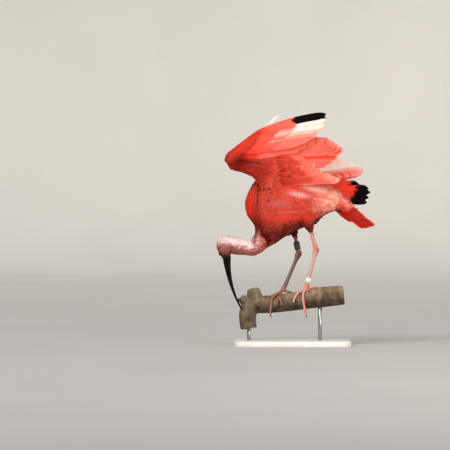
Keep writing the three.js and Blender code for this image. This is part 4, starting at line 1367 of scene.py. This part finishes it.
def left_tiers(wing):
    """The near wing's long feathers: coral, with a whitish band on the outer primaries that is a painted
    sheen, and pink, pale-edged axillaries.
    """
    # The outer primaries' whitish band is a painted sheen, where they are seen edge-on
    main = np.vstack([fade(WING_RED, CORAL, 5), fade(PINK, WHITE_PINK, 3), WHITE_PINK, CORAL])
    long = dict(lead=0.7, point=0.16, base=WING_RED, rim=PALE)
    cover = dict(base=WING_RED, rim=PINK, split=0.3)
    streaks = np.vstack([fade(WING_RED, CORAL, 5), PINK, CORAL, PINK, PALE, PALE, PINK, CORAL])
    ink = [NO_INK] * 7 + [0.75, 0.6, 0.49]
    trail = [NO_INK] * 9 + [0.49]
    plane = wing["plane"]
    quill = dict(
        root=plane.spot(mm([-62, 567]), [0.004]),
        tip=plane.spot(mm([-33, 594]), [0.004]),
        normal=plane.normal[None],
        width=0.0058, bow=0, sweep=0, tilt=0, lead=1, point=0.2, split=0, blush=0.1,
        ink=NO_INK, ink_trail=NO_INK, base=WHITE_PINK, main=WHITE_PINK, rim=WHITE_PINK,
    )
    level, step = LEVELS["primary"], COVERT_STEP
    width = [0.024] * 8 + [0.022, 0.019]
    hand = [
        fan(wing, "primary", 10, level, width=width, main=main, ink=ink, ink_trail=trail, **long),
        fan(wing, "primary", 12, beside(level, 1.2), "hand_covert", width=0.018, main=streaks, **cover),
        fan(wing, "primary", 13, beside(level, step), "hand_covert", reach=0.62, width=0.015,
            main=fade(WING_RED, CORAL, 13), **{**cover, "rim": CORAL}),
        fan(wing, "primary", 12, beside(level, -step), "hand_covert", width=0.018, main=CORAL, **cover),
        quill,
    ]
    level = LEVELS["secondary"]
    under = dict(blush=1.0, point=0.16, split=0.2, bow=0.02)
    uneven = 0.22 * np.sin(2.4 * np.arange(11))[:, None]
    arm = [
        fan(wing, "secondary", 12, level, width=0.026, main=fade(CORAL, WING_RED, 12),
            **{**long, "rim": fade(CORAL, PALE, 12)}),
        fan(wing, "secondary", 13, beside(level, 1.2), "arm_covert", width=0.019, main=CORAL, **cover),
        fan(wing, "secondary", 13, beside(level, step), "arm_covert", reach=0.6, width=0.016,
            main=fade(WING_RED, CORAL, 13), **{**cover, "rim": WING_RED}),
        fan(wing, "secondary", 12, beside(level, -step), "arm_covert", width=0.022, main=CORAL, **cover),
        fan(wing, "tertial", 5, LEVELS["tertial"], width=0.028, main=WING_RED, **long),
        fan(wing, "axillary", 4, LEVELS["axillary"], lift=6, width=0.019, base=WING_RED,
            main=fade(CORAL, PINK, 4), rim=PALE, **under),
        fan(wing, "axillary", 6, beside(LEVELS["axillary"], 1.2), lift=5, reach=0.84, width=0.017,
            base=WING_RED, main=fade(CORAL, ROSE, 6), rim=PINK, **under),
        fan(wing, "lining", 11, LEVELS["lining"], lift=5, reach=0.9 + uneven, width=0.014, base=SCARLET,
            main=ROSE, rim=PINK, **under),
        fan(wing, "lining", 11, beside(LEVELS["lining"], 1.2), lift=5, reach=0.62 - uneven, width=0.013,
            base=SCARLET, main=BRIGHT, rim=CORAL, **under),
    ]
    return hand, arm


def right_tiers(wing):
    """The far wing's long feathers: scarlet with black primary tips, and pale striped ones along the top."""
    long = dict(lead=1.3, point=0.16, base=WING_RED, rim=CORAL)
    cover = dict(base=WING_RED, main=WING_RED, rim=CORAL, split=0.3)
    ink = [NO_INK] * 4 + [0.86, 0.83, 0.8, 0.76, 0.74, 0.72]
    level, step = LEVELS["primary"], COVERT_STEP
    hand = [
        fan(wing, "primary", 10, level, width=0.021, main=WING_RED, ink=ink,
            **{**long, "split": 1.0, "point": 0.12}),
        fan(wing, "primary", 12, beside(level, 1.2), "hand_covert", width=0.019, **cover),
        fan(wing, "primary", 12, beside(level, -step), "hand_covert", width=0.019, **cover),
    ]
    level = LEVELS["secondary"]
    main = np.vstack([[WING_RED] * 7, fade(WING_RED, CORAL, 3), fade(PINK, PALE, 2)])
    arm = [
        fan(wing, "secondary", 12, level, width=0.025, main=main, **{**long, "rim": PALE}),
        fan(wing, "secondary", 13, beside(level, 1.2), "arm_covert", width=0.02, **{**cover, "rim": PALE}),
        fan(wing, "secondary", 12, beside(level, -step), "arm_covert", width=0.022, **cover),
        fan(wing, "tertial", 6, LEVELS["tertial"], width=0.021, main=fade(WHITE_PINK, PALE, 6),
            **{**long, "base": CORAL, "rim": WHITE_PINK, "blush": 0.45}),
        fan(wing, "axillary", 4, LEVELS["axillary"], lift=5, width=0.022,
            main=CORAL, base=WING_RED, rim=PALE),
    ]
    return hand, arm


for number, (side_name, tiers) in enumerate((("left", left_tiers), ("right", right_tiers))):
    hand, arm = tiers(WINGS[side_name])
    made = long_feathers(f"wing_{side_name}_primaries", hand, 50 + number)
    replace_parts(made, f"wing_{side_name}_hand")
    made = long_feathers(f"wing_{side_name}_secondaries", arm, 60 + number)
    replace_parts(made, f"wing_{side_name}_arm")


def tail_tiers():
    """Twelve tail feathers in a shallow fan, stacked like roof tiles, and the coverts over both faces."""
    level_side = np.array([0, 1.0, 0]) - TAIL_AXIS * TAIL_AXIS[1]
    across = unit(turn(level_side, TAIL_AXIS, TAIL_ROLL))
    up = np.cross(across, TAIL_AXIS)

    def tier(count, start, reach, level, wide, **look):
        """Feathers whose roots lie start beyond the tail's root, wide to each side, at level[0] above it."""
        share = np.linspace(-1, 1, count)
        ways = turn(np.broadcast_to(TAIL_AXIS, (count, 3)), up, -TAIL_SPREAD * share)
        stack = -TAIL_RANK * 6 * (1 - np.abs(share))
        root = TAIL_ROOT + TAIL_AXIS * start + across * share[:, None] * wide
        root = root + up * (stack + level[0])[:, None]
        far = reach * (1 - 0.05 * share**2 + 0.05 * share)
        tip = TAIL_ROOT + across * share[:, None] * wide * 0.8 + ways * far[:, None]
        tip = tip + up * (stack + level[1])[:, None]
        plain = dict(bow=0.01, sweep=0.0, tilt=0.0, lead=1.0, point=0.2, split=0.15, blush=0.5)
        plain.update(ink=NO_INK, ink_trail=NO_INK)
        return dict(root=root, tip=tip, normal=np.broadcast_to(-up, (count, 3)), **plain, **look)

    # The tail feathers' dark red is a painted shade, and the pale feathers at its upper edge a painted
    # highlight
    main = np.vstack([fade(WING_RED, TAIL_SHADE_RED, 2), [TAIL_SHADE_RED] * 7, fade(CORAL, PALE, 3)])
    striped = np.vstack([fade(TAIL_SHADE_RED, SCARLET, 7), PINK, PALE])
    short = fade(SCARLET, PINK, 9)
    return [
        tier(12, 0.0, TAIL_LENGTH, (0.0035, 0.0035), 0.007, width=0.018,
             base=TAIL_SHADE_RED, main=main, rim=SCARLET),
        tier(9, 0.016, 0.084, (-0.008, 0.0015), 0.010, width=0.0155,
             base=SCARLET, main=striped, rim=striped),
        tier(9, 0.008, 0.046, (-0.013, -0.003), 0.014, width=0.015, base=ROSE, main=short, rim=short),
        tier(9, 0.012, 0.075, (0.016, 0.007), 0.013, width=0.018, base=SCARLET, main=TAIL_SHADE_RED, rim=SCARLET),
    ]


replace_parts(long_feathers("tail_feathers", tail_tiers(), 70), "tail")


# Bill

# Half sizes in millimetres
BILL_TIP = 2.5
BILL_DEPTH = 11.6
BILL_BREADTH = 9.8


def bill_half_depth(share):
    """Half the bill's depth: it thins with the square of the way to the tip."""
    return (BILL_TIP + (BILL_DEPTH - BILL_TIP) * (1 - np.clip(share, 0, 1)) ** 2) * MM


def mandible(name, upper):
    """One half of the bill: part of an ellipse above or below the gape, closed by a flat underside.

    A groove runs along each side of the upper half from the nostril to near the tip, and the nostril
    is a deeper slot at its start.
    """
    tip = [0.97, 0.985, 0.995, 1.0]
    share = np.concatenate([np.linspace(-0.07, 0.12, 26), np.linspace(0.125, 0.95, 56), tip])
    at, up, _ = bill_place(share)
    depth = bill_half_depth(share)
    close = np.sqrt(np.clip((1.012 - share) / 0.03, 0, 1))[:, None]
    seam = -0.16
    if upper:
        a = np.linspace(math.asin(seam) + 0.02, math.pi - math.asin(seam) - 0.02, 41)
    else:
        a = np.linspace(math.pi - math.asin(seam) + 0.04, 2 * math.pi + math.asin(seam) - 0.04, 33)
    height, breadth = np.sin(a)[None], np.cos(a)[None]
    inset = np.zeros((len(share), len(a)))
    if upper:
        run = np.clip((share - 0.03) / 0.04, 0, 1) * np.clip((0.9 - share) / 0.3, 0, 1)
        slot = bump_at(share, 0.10, 0.035)
        for middle in (0.42, math.pi - 0.42):
            inset += (run * 0.055)[:, None] * bump_at(a, middle, 0.09)[None]
            nostril = middle + (0.08 if middle < 1 else -0.08)
            inset += (slot * 0.11)[:, None] * bump_at(a, nostril, 0.07)[None]
    size = (1 - inset) * close
    floor = np.linspace(0, 1, 9)[None, 1:-1]
    xs = breadth * size * (BILL_BREADTH / BILL_DEPTH)
    ys = height * size
    flat_x = xs[:, -1:] + (xs[:, :1] - xs[:, -1:]) * floor
    flat_y = ys[:, -1:] + (ys[:, :1] - ys[:, -1:]) * floor
    xs, ys = np.hstack([xs, flat_x]), np.hstack([ys, flat_y])
    if not upper:
        ys = ys - 0.03
    xs, ys = xs * depth[:, None], ys * depth[:, None]
    rings = at[:, None] + up[:, None] * ys[..., None] - LEFTWARD * xs[..., None]
    points, faces = tube(rings)
    shares = np.concatenate([np.repeat(share, rings.shape[1]), [-0.07, 1]])
    # Near black, greyer towards the base as a painted sheen, and browner in the middle
    colour = blend(linear("#070504"), linear("#0D0D0A"), bump_at(shares, 0.08, 0.2) * 0.8)
    colour = blend(colour, linear("#160D09"), bump_at(shares, 0.5, 0.3) * 0.3)
    colour = blend(colour, LORES, np.clip((0.0 - shares) / 0.05, 0, 1))
    # The groove and the nostril are painted darker, a painted shade in these recesses
    if upper:
        dark = np.concatenate([np.hstack([inset, np.zeros((len(share), 7))]).ravel(), [0, 0]])
        colour = blend(colour, linear("#060505"), np.clip(dark * 7, 0, 1))
    obj = piece(name, points, faces, tint=colour)
    obj.data.materials.append(HORN)
    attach(obj, "root")
    return obj


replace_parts(mandible("bill_upper_horn", True), "bill_upper")
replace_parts(mandible("bill_lower_horn", False), "bill_lower")


# Eyes and lids

def make_eye(side, name):
    """An eyeball: a sphere whose pole looks outwards, with a slightly bulging cornea round the pole."""
    out = LEFTWARD * side
    count = 40
    angle = np.linspace(0.02, math.pi - 0.02, count)
    ring = circle(count)
    radius = EYE_RADIUS * (1 + 0.05 * bump_at(angle, 0, 0.5))
    x = np.sin(angle)[:, None] * np.cos(ring)
    y = np.sin(angle)[:, None] * np.sin(ring)
    z = np.cos(angle)[:, None] * np.ones(count)
    rings = eye_centre(side) + radius[:, None, None] * (
        x[..., None] * CROWN + y[..., None] * FORWARD * side + z[..., None] * out
    )
    points, faces = tube(rings[::-1])
    polar = np.concatenate([np.repeat(angle[::-1], count), [math.pi, 0]]) / math.pi
    obj = piece(name, points, faces, maps={"Polar": np.stack([polar * 0 + 0.5, polar], axis=1)})
    obj.data.materials.append(EYE)
    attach(obj, "root")
    return obj


def make_lids():
    """Both pairs of lids: a soft ring round each eye, longer towards bill and nape, thickest above."""
    parts = []
    rings_round, points_round = 64, 14
    a, b = circle(rings_round), circle(points_round)
    wide = 5.0 + 0.35 * np.cos(2 * a)
    loop = (np.cos(a)[:, None] * FORWARD + np.sin(a)[:, None] * CROWN) * wide[:, None] * MM
    outward = unit(loop)
    thick = (0.85 + 0.2 * np.sin(a) + 0.08 * np.sin(9 * a)) * MM
    for side in (1, -1):
        out = LEFTWARD * side
        centre = eye_centre(side) + loop + out * 2.4 * MM
        rings = (
            centre[:, None]
            + outward[:, None] * (np.cos(b)[None, :, None] * thick[:, None, None])
            + out * (np.sin(b)[None, :, None] * thick[:, None, None] * 0.8)
        )
        points = rings.reshape(-1, 3)
        i, j = np.meshgrid(np.arange(rings_round), np.arange(points_round), indexing="ij")
        here, there = i * points_round, (i + 1) % rings_round * points_round
        k = (j + 1) % points_round
        quads = np.stack([here + j, here + k, there + k, there + j], axis=-1).reshape(-1, 4)
        if side > 0:
            quads = quads[:, ::-1]
        parts.append((points, (quads, np.zeros((0, 3), int))))
    points, (quads, _) = join(parts)
    tint = blend(FACE_DARK, LORES, 0.5 + 0.5 * ripple(points, 35, 0.004))
    obj = piece("eyelids", points, [quads], tint=tint)
    obj.data.materials.append(SKIN)
    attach(obj, "root")


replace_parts(make_eye(1, "eyeball_left"), "eye_left")
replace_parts(make_eye(-1, "eyeball_right"), "eye_right")
make_lids()


# Legs and feet

def branch_at(x):
    """The branch's height and radius at x."""
    rows = np.array(BRANCH_RUN[::-1], float)
    return np.interp(x, rows[:, 0], rows[:, 1]), np.interp(x, rows[:, 0], rows[:, 2])


def toe_rows(hub, steps, radius):
    """A toe's middle line: it lies on the branch by turns from its top, then hangs down its near side."""
    rows = [[*hub, radius]]
    for i, (x, angle, *hanging) in enumerate(steps):
        height, bough = branch_at(x)
        reach = bough + radius * 0.8 + 0.3
        if angle is None:
            spot = [x, -reach, *hanging]
        else:
            a = math.radians(angle)
            spot = [x, -reach * math.sin(a), height + reach * math.cos(a)]
        rows.append([*spot, radius * (1 - 0.3 * (i + 1) / len(steps))])
    return mm(rows)


def web(a, b, reach):
    """Skin between two toes: lines from toe to toe out to reach of their length, less in the middle."""
    u = np.linspace(0.02, reach, 14)
    v = np.linspace(0, 1, 9)
    back = 1 - 1.5 * v * (1 - v)
    share = u[:, None] * back[None]
    at = []
    for rows in (a, b):
        line = spline(rows, 100)
        places = [np.interp(share, np.linspace(0, 1, 100), line[:, i]) for i in range(3)]
        at.append(np.stack(places, axis=-1))
    sheet = at[0] * (1 - v)[None, :, None] + at[1] * v[None, :, None]
    normal = unit(np.cross(np.gradient(sheet, axis=0), np.gradient(sheet, axis=1)))
    half = normal * 0.0006
    return np.concatenate([sheet + half, (sheet - half)[:, ::-1]], axis=1)


LEG_AROUND = 28  # points round a tarsus or toe
WEB_REACH = 0.34  # how far along the toes the skin between them goes


def plates(count, rings, depth):
    """Plates on a tube's front, as a factor on its size: it falls by depth along each of count plates."""
    front = np.clip(-np.cos(circle(LEG_AROUND)), 0, 1) ** 2
    return 1 - depth * (np.linspace(0, count, rings) % 1.0)[:, None] * front[None]


def tarsus_rings(hock, low):
    """The tarsus and hock as rings, and how red each ring is.

    The radii swell at the hock and at the toes, and wrinkles ring the hock.
    """
    count = 160
    shares = np.array([-0.09, 0, 0.09, 0.2, 0.6, 0.9, 1.0])
    sizes = np.array([[5, 5], [8.4, 6.8], [7.4, 6.4], [5.2, 4.6], [4.8, 4.2], [5.2, 4.8], [5.8, 5.8]])
    rows = spline(np.hstack([hock + (low - hock) * shares[:, None], mm(sizes)]), count)
    up, side, _ = limb_axes(rows[:, :3], (0, 1, 0))
    t = np.linspace(-0.09, 1, count)
    a = circle(LEG_AROUND)
    wrinkled = bump_at(t, 0.1, 0.05) + bump_at(t, -0.05, 0.03)
    folds = 1 + 0.05 * np.sin(t * 190) * wrinkled
    size = plates(34, count, 0.07) * folds[:, None]
    rings = rows[:, None, :3] + (
        up[:, None] * (rows[:, 3:4] * np.cos(a) * size)[..., None]
        + side[:, None] * (rows[:, 4:5] * np.sin(a) * size)[..., None]
    )
    creases = np.clip(-np.sin(t * 190), 0, 1) * wrinkled
    return rings, 0.9 * bump_at(t, 0.0, 0.13) + 0.5 * creases + 0.15 * bump_at(t, 1, 0.1)


def toe_and_claw(rows):
    """A toe's rings, how near each is to a joint, and the claw, which starts inside the toe's end.

    The radius swells at each joint by a hump, and the toe's last rings round it off.
    """
    count, toe_end, claw_start = 92, 80, 76
    across = (0.35, 0.25, 0.9)
    fine = spline(rows, count)
    toe, claw = fine[:toe_end], fine[claw_start:]
    knots = np.linspace(0, len(rows) - 1, count)[:toe_end]
    middles = [k + 0.5 for k in range(1, len(rows) - 1)] + [1.0]
    joints = np.clip(sum(bump_at(knots, k, 0.2) for k in middles), 0, 1)
    r = toe[:, 3] * (0.9 + 0.24 * joints)
    r[-5:] *= [0.97, 0.92, 0.84, 0.72, 0.5]
    a = circle(LEG_AROUND)
    up, side, _ = limb_axes(toe[:, :3], across)
    size = r[:, None] * plates(24, toe_end, 0.09)
    rings = toe[:, None, :3] + (
        up[:, None] * (np.cos(a) * size)[..., None] + side[:, None] * (np.sin(a) * size)[..., None]
    )
    up, side, _ = limb_axes(claw[:, :3], across)
    taper = np.linspace(1, 0.1, len(claw))[:, None] * claw[0, 3] * 0.8
    return rings, joints, tube(ellipse_rings(claw[:, :3], up * taper, side * taper, 14))


def make_leg(name, leg):
    """Shank, tarsus and foot of one leg, and its claws."""
    shin, rosy, ruddy, lit_tone, shaded_tone = (linear(code) for code in leg["tones"])
    hock, hub = mm(leg["hock"]), mm(leg["hub"])

    def tinted(rings, red, plain=rosy):
        """A tube with its colour: redder by each ring's share, paler on the side that faces up and forward,
        towards the key light, and darker on the far side, a painted light and shade.
        """
        points, faces = tube(rings)
        shares = np.concatenate([np.repeat(red, rings.shape[1]), red[[0, -1]]])
        # Painted light: paler on the side towards the key light above and in front, darker on the side away
        # from it
        outward = unit(rings - rings.mean(axis=1, keepdims=True)) @ unit([-0.5, -0.35, 0.8])
        lit_share = np.concatenate([outward.ravel(), [0, 0]]) + 0.2 * ripple(points, 82, 0.006)
        colour = blend(plain, ruddy, shares + 0.15 * ripple(points, 81, 0.008))
        colour = blend(colour, lit_tone, np.clip(lit_share, 0, 1) * 0.55)
        return points, faces, blend(colour, shaded_tone, np.clip(-lit_share, 0, 1) * 0.5)

    shank = tinted(limb(mm(leg["shank"]), 40, around=24), np.linspace(0.1, 0.8, 40))
    low = hub + (hock - hub) * 9 / TARSUS
    tarsus = tinted(*tarsus_rings(hock, low), shin)
    ankle_top = hub + (hock - hub) * 12 / TARSUS
    ankle = np.array([
        [*ankle_top, 0.0054, 0.0054],
        [*hub, 0.0066, 0.0066],
        [hub[0], hub[1], hub[2] - 0.005, 0.004, 0.004],
    ])
    sets = [(limb(ankle, 24, around=LEG_AROUND), np.full(24, 0.35))]
    claws = []
    paths = [toe_rows(leg["hub"], steps, radius) for steps, radius in zip(leg["toes"], TOE_RADII)]
    for rows in paths:
        rings, joints, claw = toe_and_claw(rows)
        sets.append((rings, 0.1 + 0.35 * joints))
        claws.append(claw)
    for first, second in ((0, 1), (1, 2)):
        rings = web(paths[first], paths[second], WEB_REACH)
        sets.append((rings, np.full(len(rings), 0.75)))
    parts = [tinted(rings, red) for rings, red in sets]
    points, faces = join([(p, f) for p, f, _ in parts])
    foot = (points, faces, np.vstack([colour for _, _, colour in parts]))
    for kind, (points, faces, colour) in (("shank", shank), ("tarsus", tarsus), ("foot", foot)):
        obj = piece(f"{kind}_{name}_skin", points, faces, tint=colour)
        obj.data.materials.append(LEG_SKIN)
        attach(obj, "root")
        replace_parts(obj, f"{kind}_{name}")
    points, faces = join(claws)
    tint = blend(linear("#2A201D"), linear("#6B5750"), 0.4 + 0.4 * ripple(points, 83, 0.004))
    obj = piece(f"claws_{name}", points, faces, tint=tint)
    obj.data.materials.append(HORN)
    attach(obj, "root")


make_leg("left", LEGS["left"])
make_leg("right", LEGS["right"])


def turned(name, start, end, profile, finish, cad_node):
    """A body of revolution from start to end: a closed profile of (radius, height) carried round the axis."""
    start, end = np.asarray(start, float), np.asarray(end, float)
    axis = unit(end - start)
    up = unit(np.cross(axis, [1.0, 0.2, 0.1]))
    side = np.cross(axis, up)
    around = 48
    a = circle(around)
    ways = np.cos(a)[:, None] * up + np.sin(a)[:, None] * side
    profile = np.asarray(profile, float)
    points = start + axis * profile[None, :, 1:2] + ways[:, None] * profile[None, :, :1]
    m = len(profile)
    i, j = np.meshgrid(np.arange(around), np.arange(m), indexing="ij")
    here, there = i * m, (i + 1) % around * m
    k = (j + 1) % m
    quads = np.stack([here + j, there + j, there + k, here + k], axis=-1).reshape(-1, 4)
    obj = piece(name, points.reshape(-1, 3), [quads])
    obj.data.materials.append(finish)
    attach(obj, "root")
    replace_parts(obj, cad_node)


def band_profile(inner, outer, length):
    """A ring's section with rounded corners, radius and height."""
    r = 0.0004
    return [
        (inner, r), (inner + r, 0), (outer - r, 0), (outer, r),
        (outer, length - r), (outer - r, length), (inner + r, length), (inner, length - r),
    ]


left_hock, left_hub = mm(LEGS["left"]["hock"]), mm(LEGS["left"]["hub"])
low_end, high_end = (left_hock + (left_hub - left_hock) * share for share in (0.85, 0.73))
profile = band_profile(0.0062, 0.0078, np.linalg.norm(high_end - low_end))
turned("ring_white_band", low_end, high_end, profile, WHITE_BAND, "ring_white")
low_end, high_end = mm([21, 28.7, 249]), mm([17.2, 30, 269])
profile = band_profile(0.0069, 0.0081, np.linalg.norm(high_end - low_end))
turned("ring_green_band", low_end, high_end, profile, GREEN_BAND, "ring_green")


# Branch and stand

def make_perch():
    """The branch: four tapering tubes joined on a lattice into one, then drawn in by bark relief.

    Relief is only inwards, so that the toes still rest on it: long furrows along the branch, knots and pits.
    """
    parts, cuts = [], []
    for rows, end, inner in (
        (BRANCH_RUN, 0, 1), (BRANCH_DROP, -1, -2), (BRANCH_STUB, -1, -2), (BRANCH_TWIG, -1, -2)
    ):
        table = mm([[x, 0, z, r, r] for x, z, r in rows])
        parts.append(tube(limb(table, 60, around=48)))
        cuts.append((table[end, :3], unit(table[end, :3] - table[inner, :3]), table[end, 3]))
    points, faces = join(parts)
    obj = piece("perch_bark", points, faces)
    made = fuse(obj, PERCH_VOXEL, 4)
    p = read(made.vertices, "co", 3)
    n = read(made.vertices, "normal", 3)
    sawn = np.zeros(len(p))
    for centre, out, radius in cuts:
        flat = (np.abs((p - centre) @ out) < PERCH_VOXEL) & (n @ out > 0.75)
        sawn = np.maximum(sawn, flat & (np.linalg.norm(p - centre, axis=1) < radius + 0.002))
    pith = bump_at(np.linalg.norm(p - cuts[-1][0], axis=1), 0, 0.004)
    furrows = ripple(p * np.array([0.25, 1, 1]), 91, 0.006)
    drawn_in = 0.5 + 0.5 * furrows * 0.6 + 0.2 * ripple(p, 92, 0.015)
    pit = sum(bump_at(np.linalg.norm(p - knot, axis=1), 0, 0.0035) for knot in mm(BRANCH_KNOTS))
    p = p - n * ((np.clip(drawn_in, 0, 1) * 0.0007 + pit * 0.0018) * (1 - sawn))[:, None]
    made.vertices.foreach_set("co", p.ravel())
    made.attributes.new("Sawn", "FLOAT", "POINT").data.foreach_set("value", sawn * (1 - pith))
    # Painted light and shade in the Tint: paler where the bark faces up, darker where it faces down and in
    # the knots' pits; the twig's pith is darker
    light = np.clip(0.52 + 0.54 * n[:, 2:3] + 0.10 * ripple(p, 93, 0.03)[:, None], 0.26, 1.1)
    light = light * (1 - 0.7 * pit[:, None])
    paint(made, light * np.array([1.0, 0.96, 0.9]) * (1 - 0.8 * pith[:, None]))
    made.materials.append(BARK)
    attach(obj, "root")
    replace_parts(obj, "perch")


def make_base():
    """The stand's plate: a rectangle with round corners, whose outline steps in over a rounded top edge."""
    half_length, half_depth, corner = 0.150, 0.095, 0.022
    middle_x = 0.006
    arcs = []
    for right, back, quarter in ((1, 1, 0), (-1, 1, 1), (-1, -1, 2), (1, -1, 3)):
        a = np.linspace(0, math.pi / 2, 10) + quarter * math.pi / 2
        x = right * (half_length - corner) + corner * np.cos(a)
        y = back * (half_depth - corner) + corner * np.sin(a)
        arcs.append(np.stack([x, y], axis=1))
    outline = np.vstack(arcs)
    outward = unit(outline)
    # How far the outline steps in, and at what height
    steps = [
        (0.0008, 0.0), (0.0, 0.0008), (0.0, 0.0118),
        (0.0006, 0.0133), (0.0020, 0.0140), (0.0030, 0.0140),
    ]
    rings = []
    for inset, height in steps:
        ring = outline - outward * inset
        rings.append(np.column_stack([ring[:, 0] + middle_x, ring[:, 1], np.full(len(ring), height)]))
    points, faces = tube(np.array(rings))
    obj = piece("stand_base_plate", points, faces)
    obj.data.materials.append(STAND_PAINT)
    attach(obj, "root")
    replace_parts(obj, "stand_base")


make_perch()
make_base()
for label in ("left", "right"):
    low_corner, high_corner = (np.array(c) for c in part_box(f"stand_rod_{label}"))
    middle = (low_corner + high_corner) / 2
    bottom = np.array([middle[0], middle[1], low_corner[2]])
    top = np.array([middle[0], middle[1], high_corner[2]])
    tall = float(high_corner[2] - low_corner[2])
    profile = [
        (0.00001, 0), (0.0046, 0), (0.005, 0.0004),
        (0.005, tall - 0.0004), (0.0046, tall), (0.00001, tall),
    ]
    turned(f"stand_rod_{label}_steel", bottom, top, profile, STEEL, f"stand_rod_{label}")


# Floor, light and camera

def make_floor():
    """A pale floor whose far rim curves up all round.

    It is a body of revolution: flat out to 10 m, a quarter circle of 2.5 m, then a wall.
    """
    flat, bend = 10, 2.5
    a = np.linspace(0, math.pi / 2, 24)
    radius = np.concatenate([[0.02, 2, 5, 8], flat + bend * np.sin(a), [flat + bend]])
    height = np.concatenate([[0, 0, 0, 0], bend * (1 - np.cos(a)), [2 * bend]])
    around = 96
    x = radius[:, None] * np.cos(circle(around))
    y = radius[:, None] * np.sin(circle(around))
    z = height[:, None] * np.ones(around)
    i, j = np.meshgrid(np.arange(len(radius) - 1), np.arange(around), indexing="ij")
    here, there = i * around, (i + 1) * around
    k = (j + 1) % around
    quads = np.stack([here + j, there + j, there + k, here + k], axis=-1).reshape(-1, 4)
    cap = np.arange(around)[None]
    floor = piece("floor", np.stack([x, y, z], axis=-1).reshape(-1, 3), [quads, cap])
    paper, tree, inputs = material("studio_paper", Roughness=0.95)
    mottled(tree, inputs, own_place(tree), 1.2, "#CDCCC9", "#D1D0CD")
    floor.data.materials.append(paper)
    floor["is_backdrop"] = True


def make_lights():
    """A wide soft key light, two soft lamps aimed at the bird, and a pale room."""
    for name, kind, place, power, colour in (
        ("key", "SUN", (-0.45, -0.72, 0.53), 2.55, "#FFF7EE"),
        ("catch", "AREA", (-2.4, -2.6, 1.4), 12, "#FFFFFF"),
        ("fill", "AREA", (2.2, -2.4, 0.3), 68, "#FFF9F4"),
    ):
        light = bpy.data.lights.new(name, kind)
        light.energy = power
        light.color = linear(colour)
        if kind == "SUN":
            light.angle = math.radians(40)
            target = np.zeros(3)
        else:
            light.size = 1.2
            target = np.array([0.0, 0.0, 0.3])
        lamp = bpy.data.objects.new(name, light)
        bpy.context.scene.collection.objects.link(lamp)
        lamp.location = place
        aim = target - np.array(place)
        tilt = math.atan2(math.hypot(aim[0], aim[1]), -aim[2])
        lamp.rotation_euler = (tilt, 0, math.atan2(-aim[0], aim[1]))
    world = bpy.data.worlds.new("pale_room")
    world.use_nodes = True
    room = world.node_tree.nodes["Background"].inputs
    room["Color"].default_value = (*linear("#E9ECEE"), 1)
    room["Strength"].default_value = 0.42
    bpy.context.scene.world = world
    bpy.context.scene.view_settings.view_transform = "Standard"


def make_camera():
    """A long lens level with the bird, which stands in the picture where it does in the photograph."""
    away = 7.0
    picture_width = 1.17  # at the bird
    lens = bpy.data.cameras.new("long_lens")
    lens.sensor_width = 36
    lens.lens = lens.sensor_width * away / picture_width
    lens.clip_end = 100
    eye = bpy.data.objects.new("camera", lens)
    eye.location = (-0.169, -away, 0.313)
    eye.rotation_euler = (math.pi / 2, 0, 0)
    bpy.context.scene.collection.objects.link(eye)
    bpy.context.scene.camera = eye


make_floor()
make_lights()
make_camera()

boxes = {"cad": cad_box, "visual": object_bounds()}
boxes = {name: [[float(v) for v in corner] for corner in box] for name, box in boxes.items()}
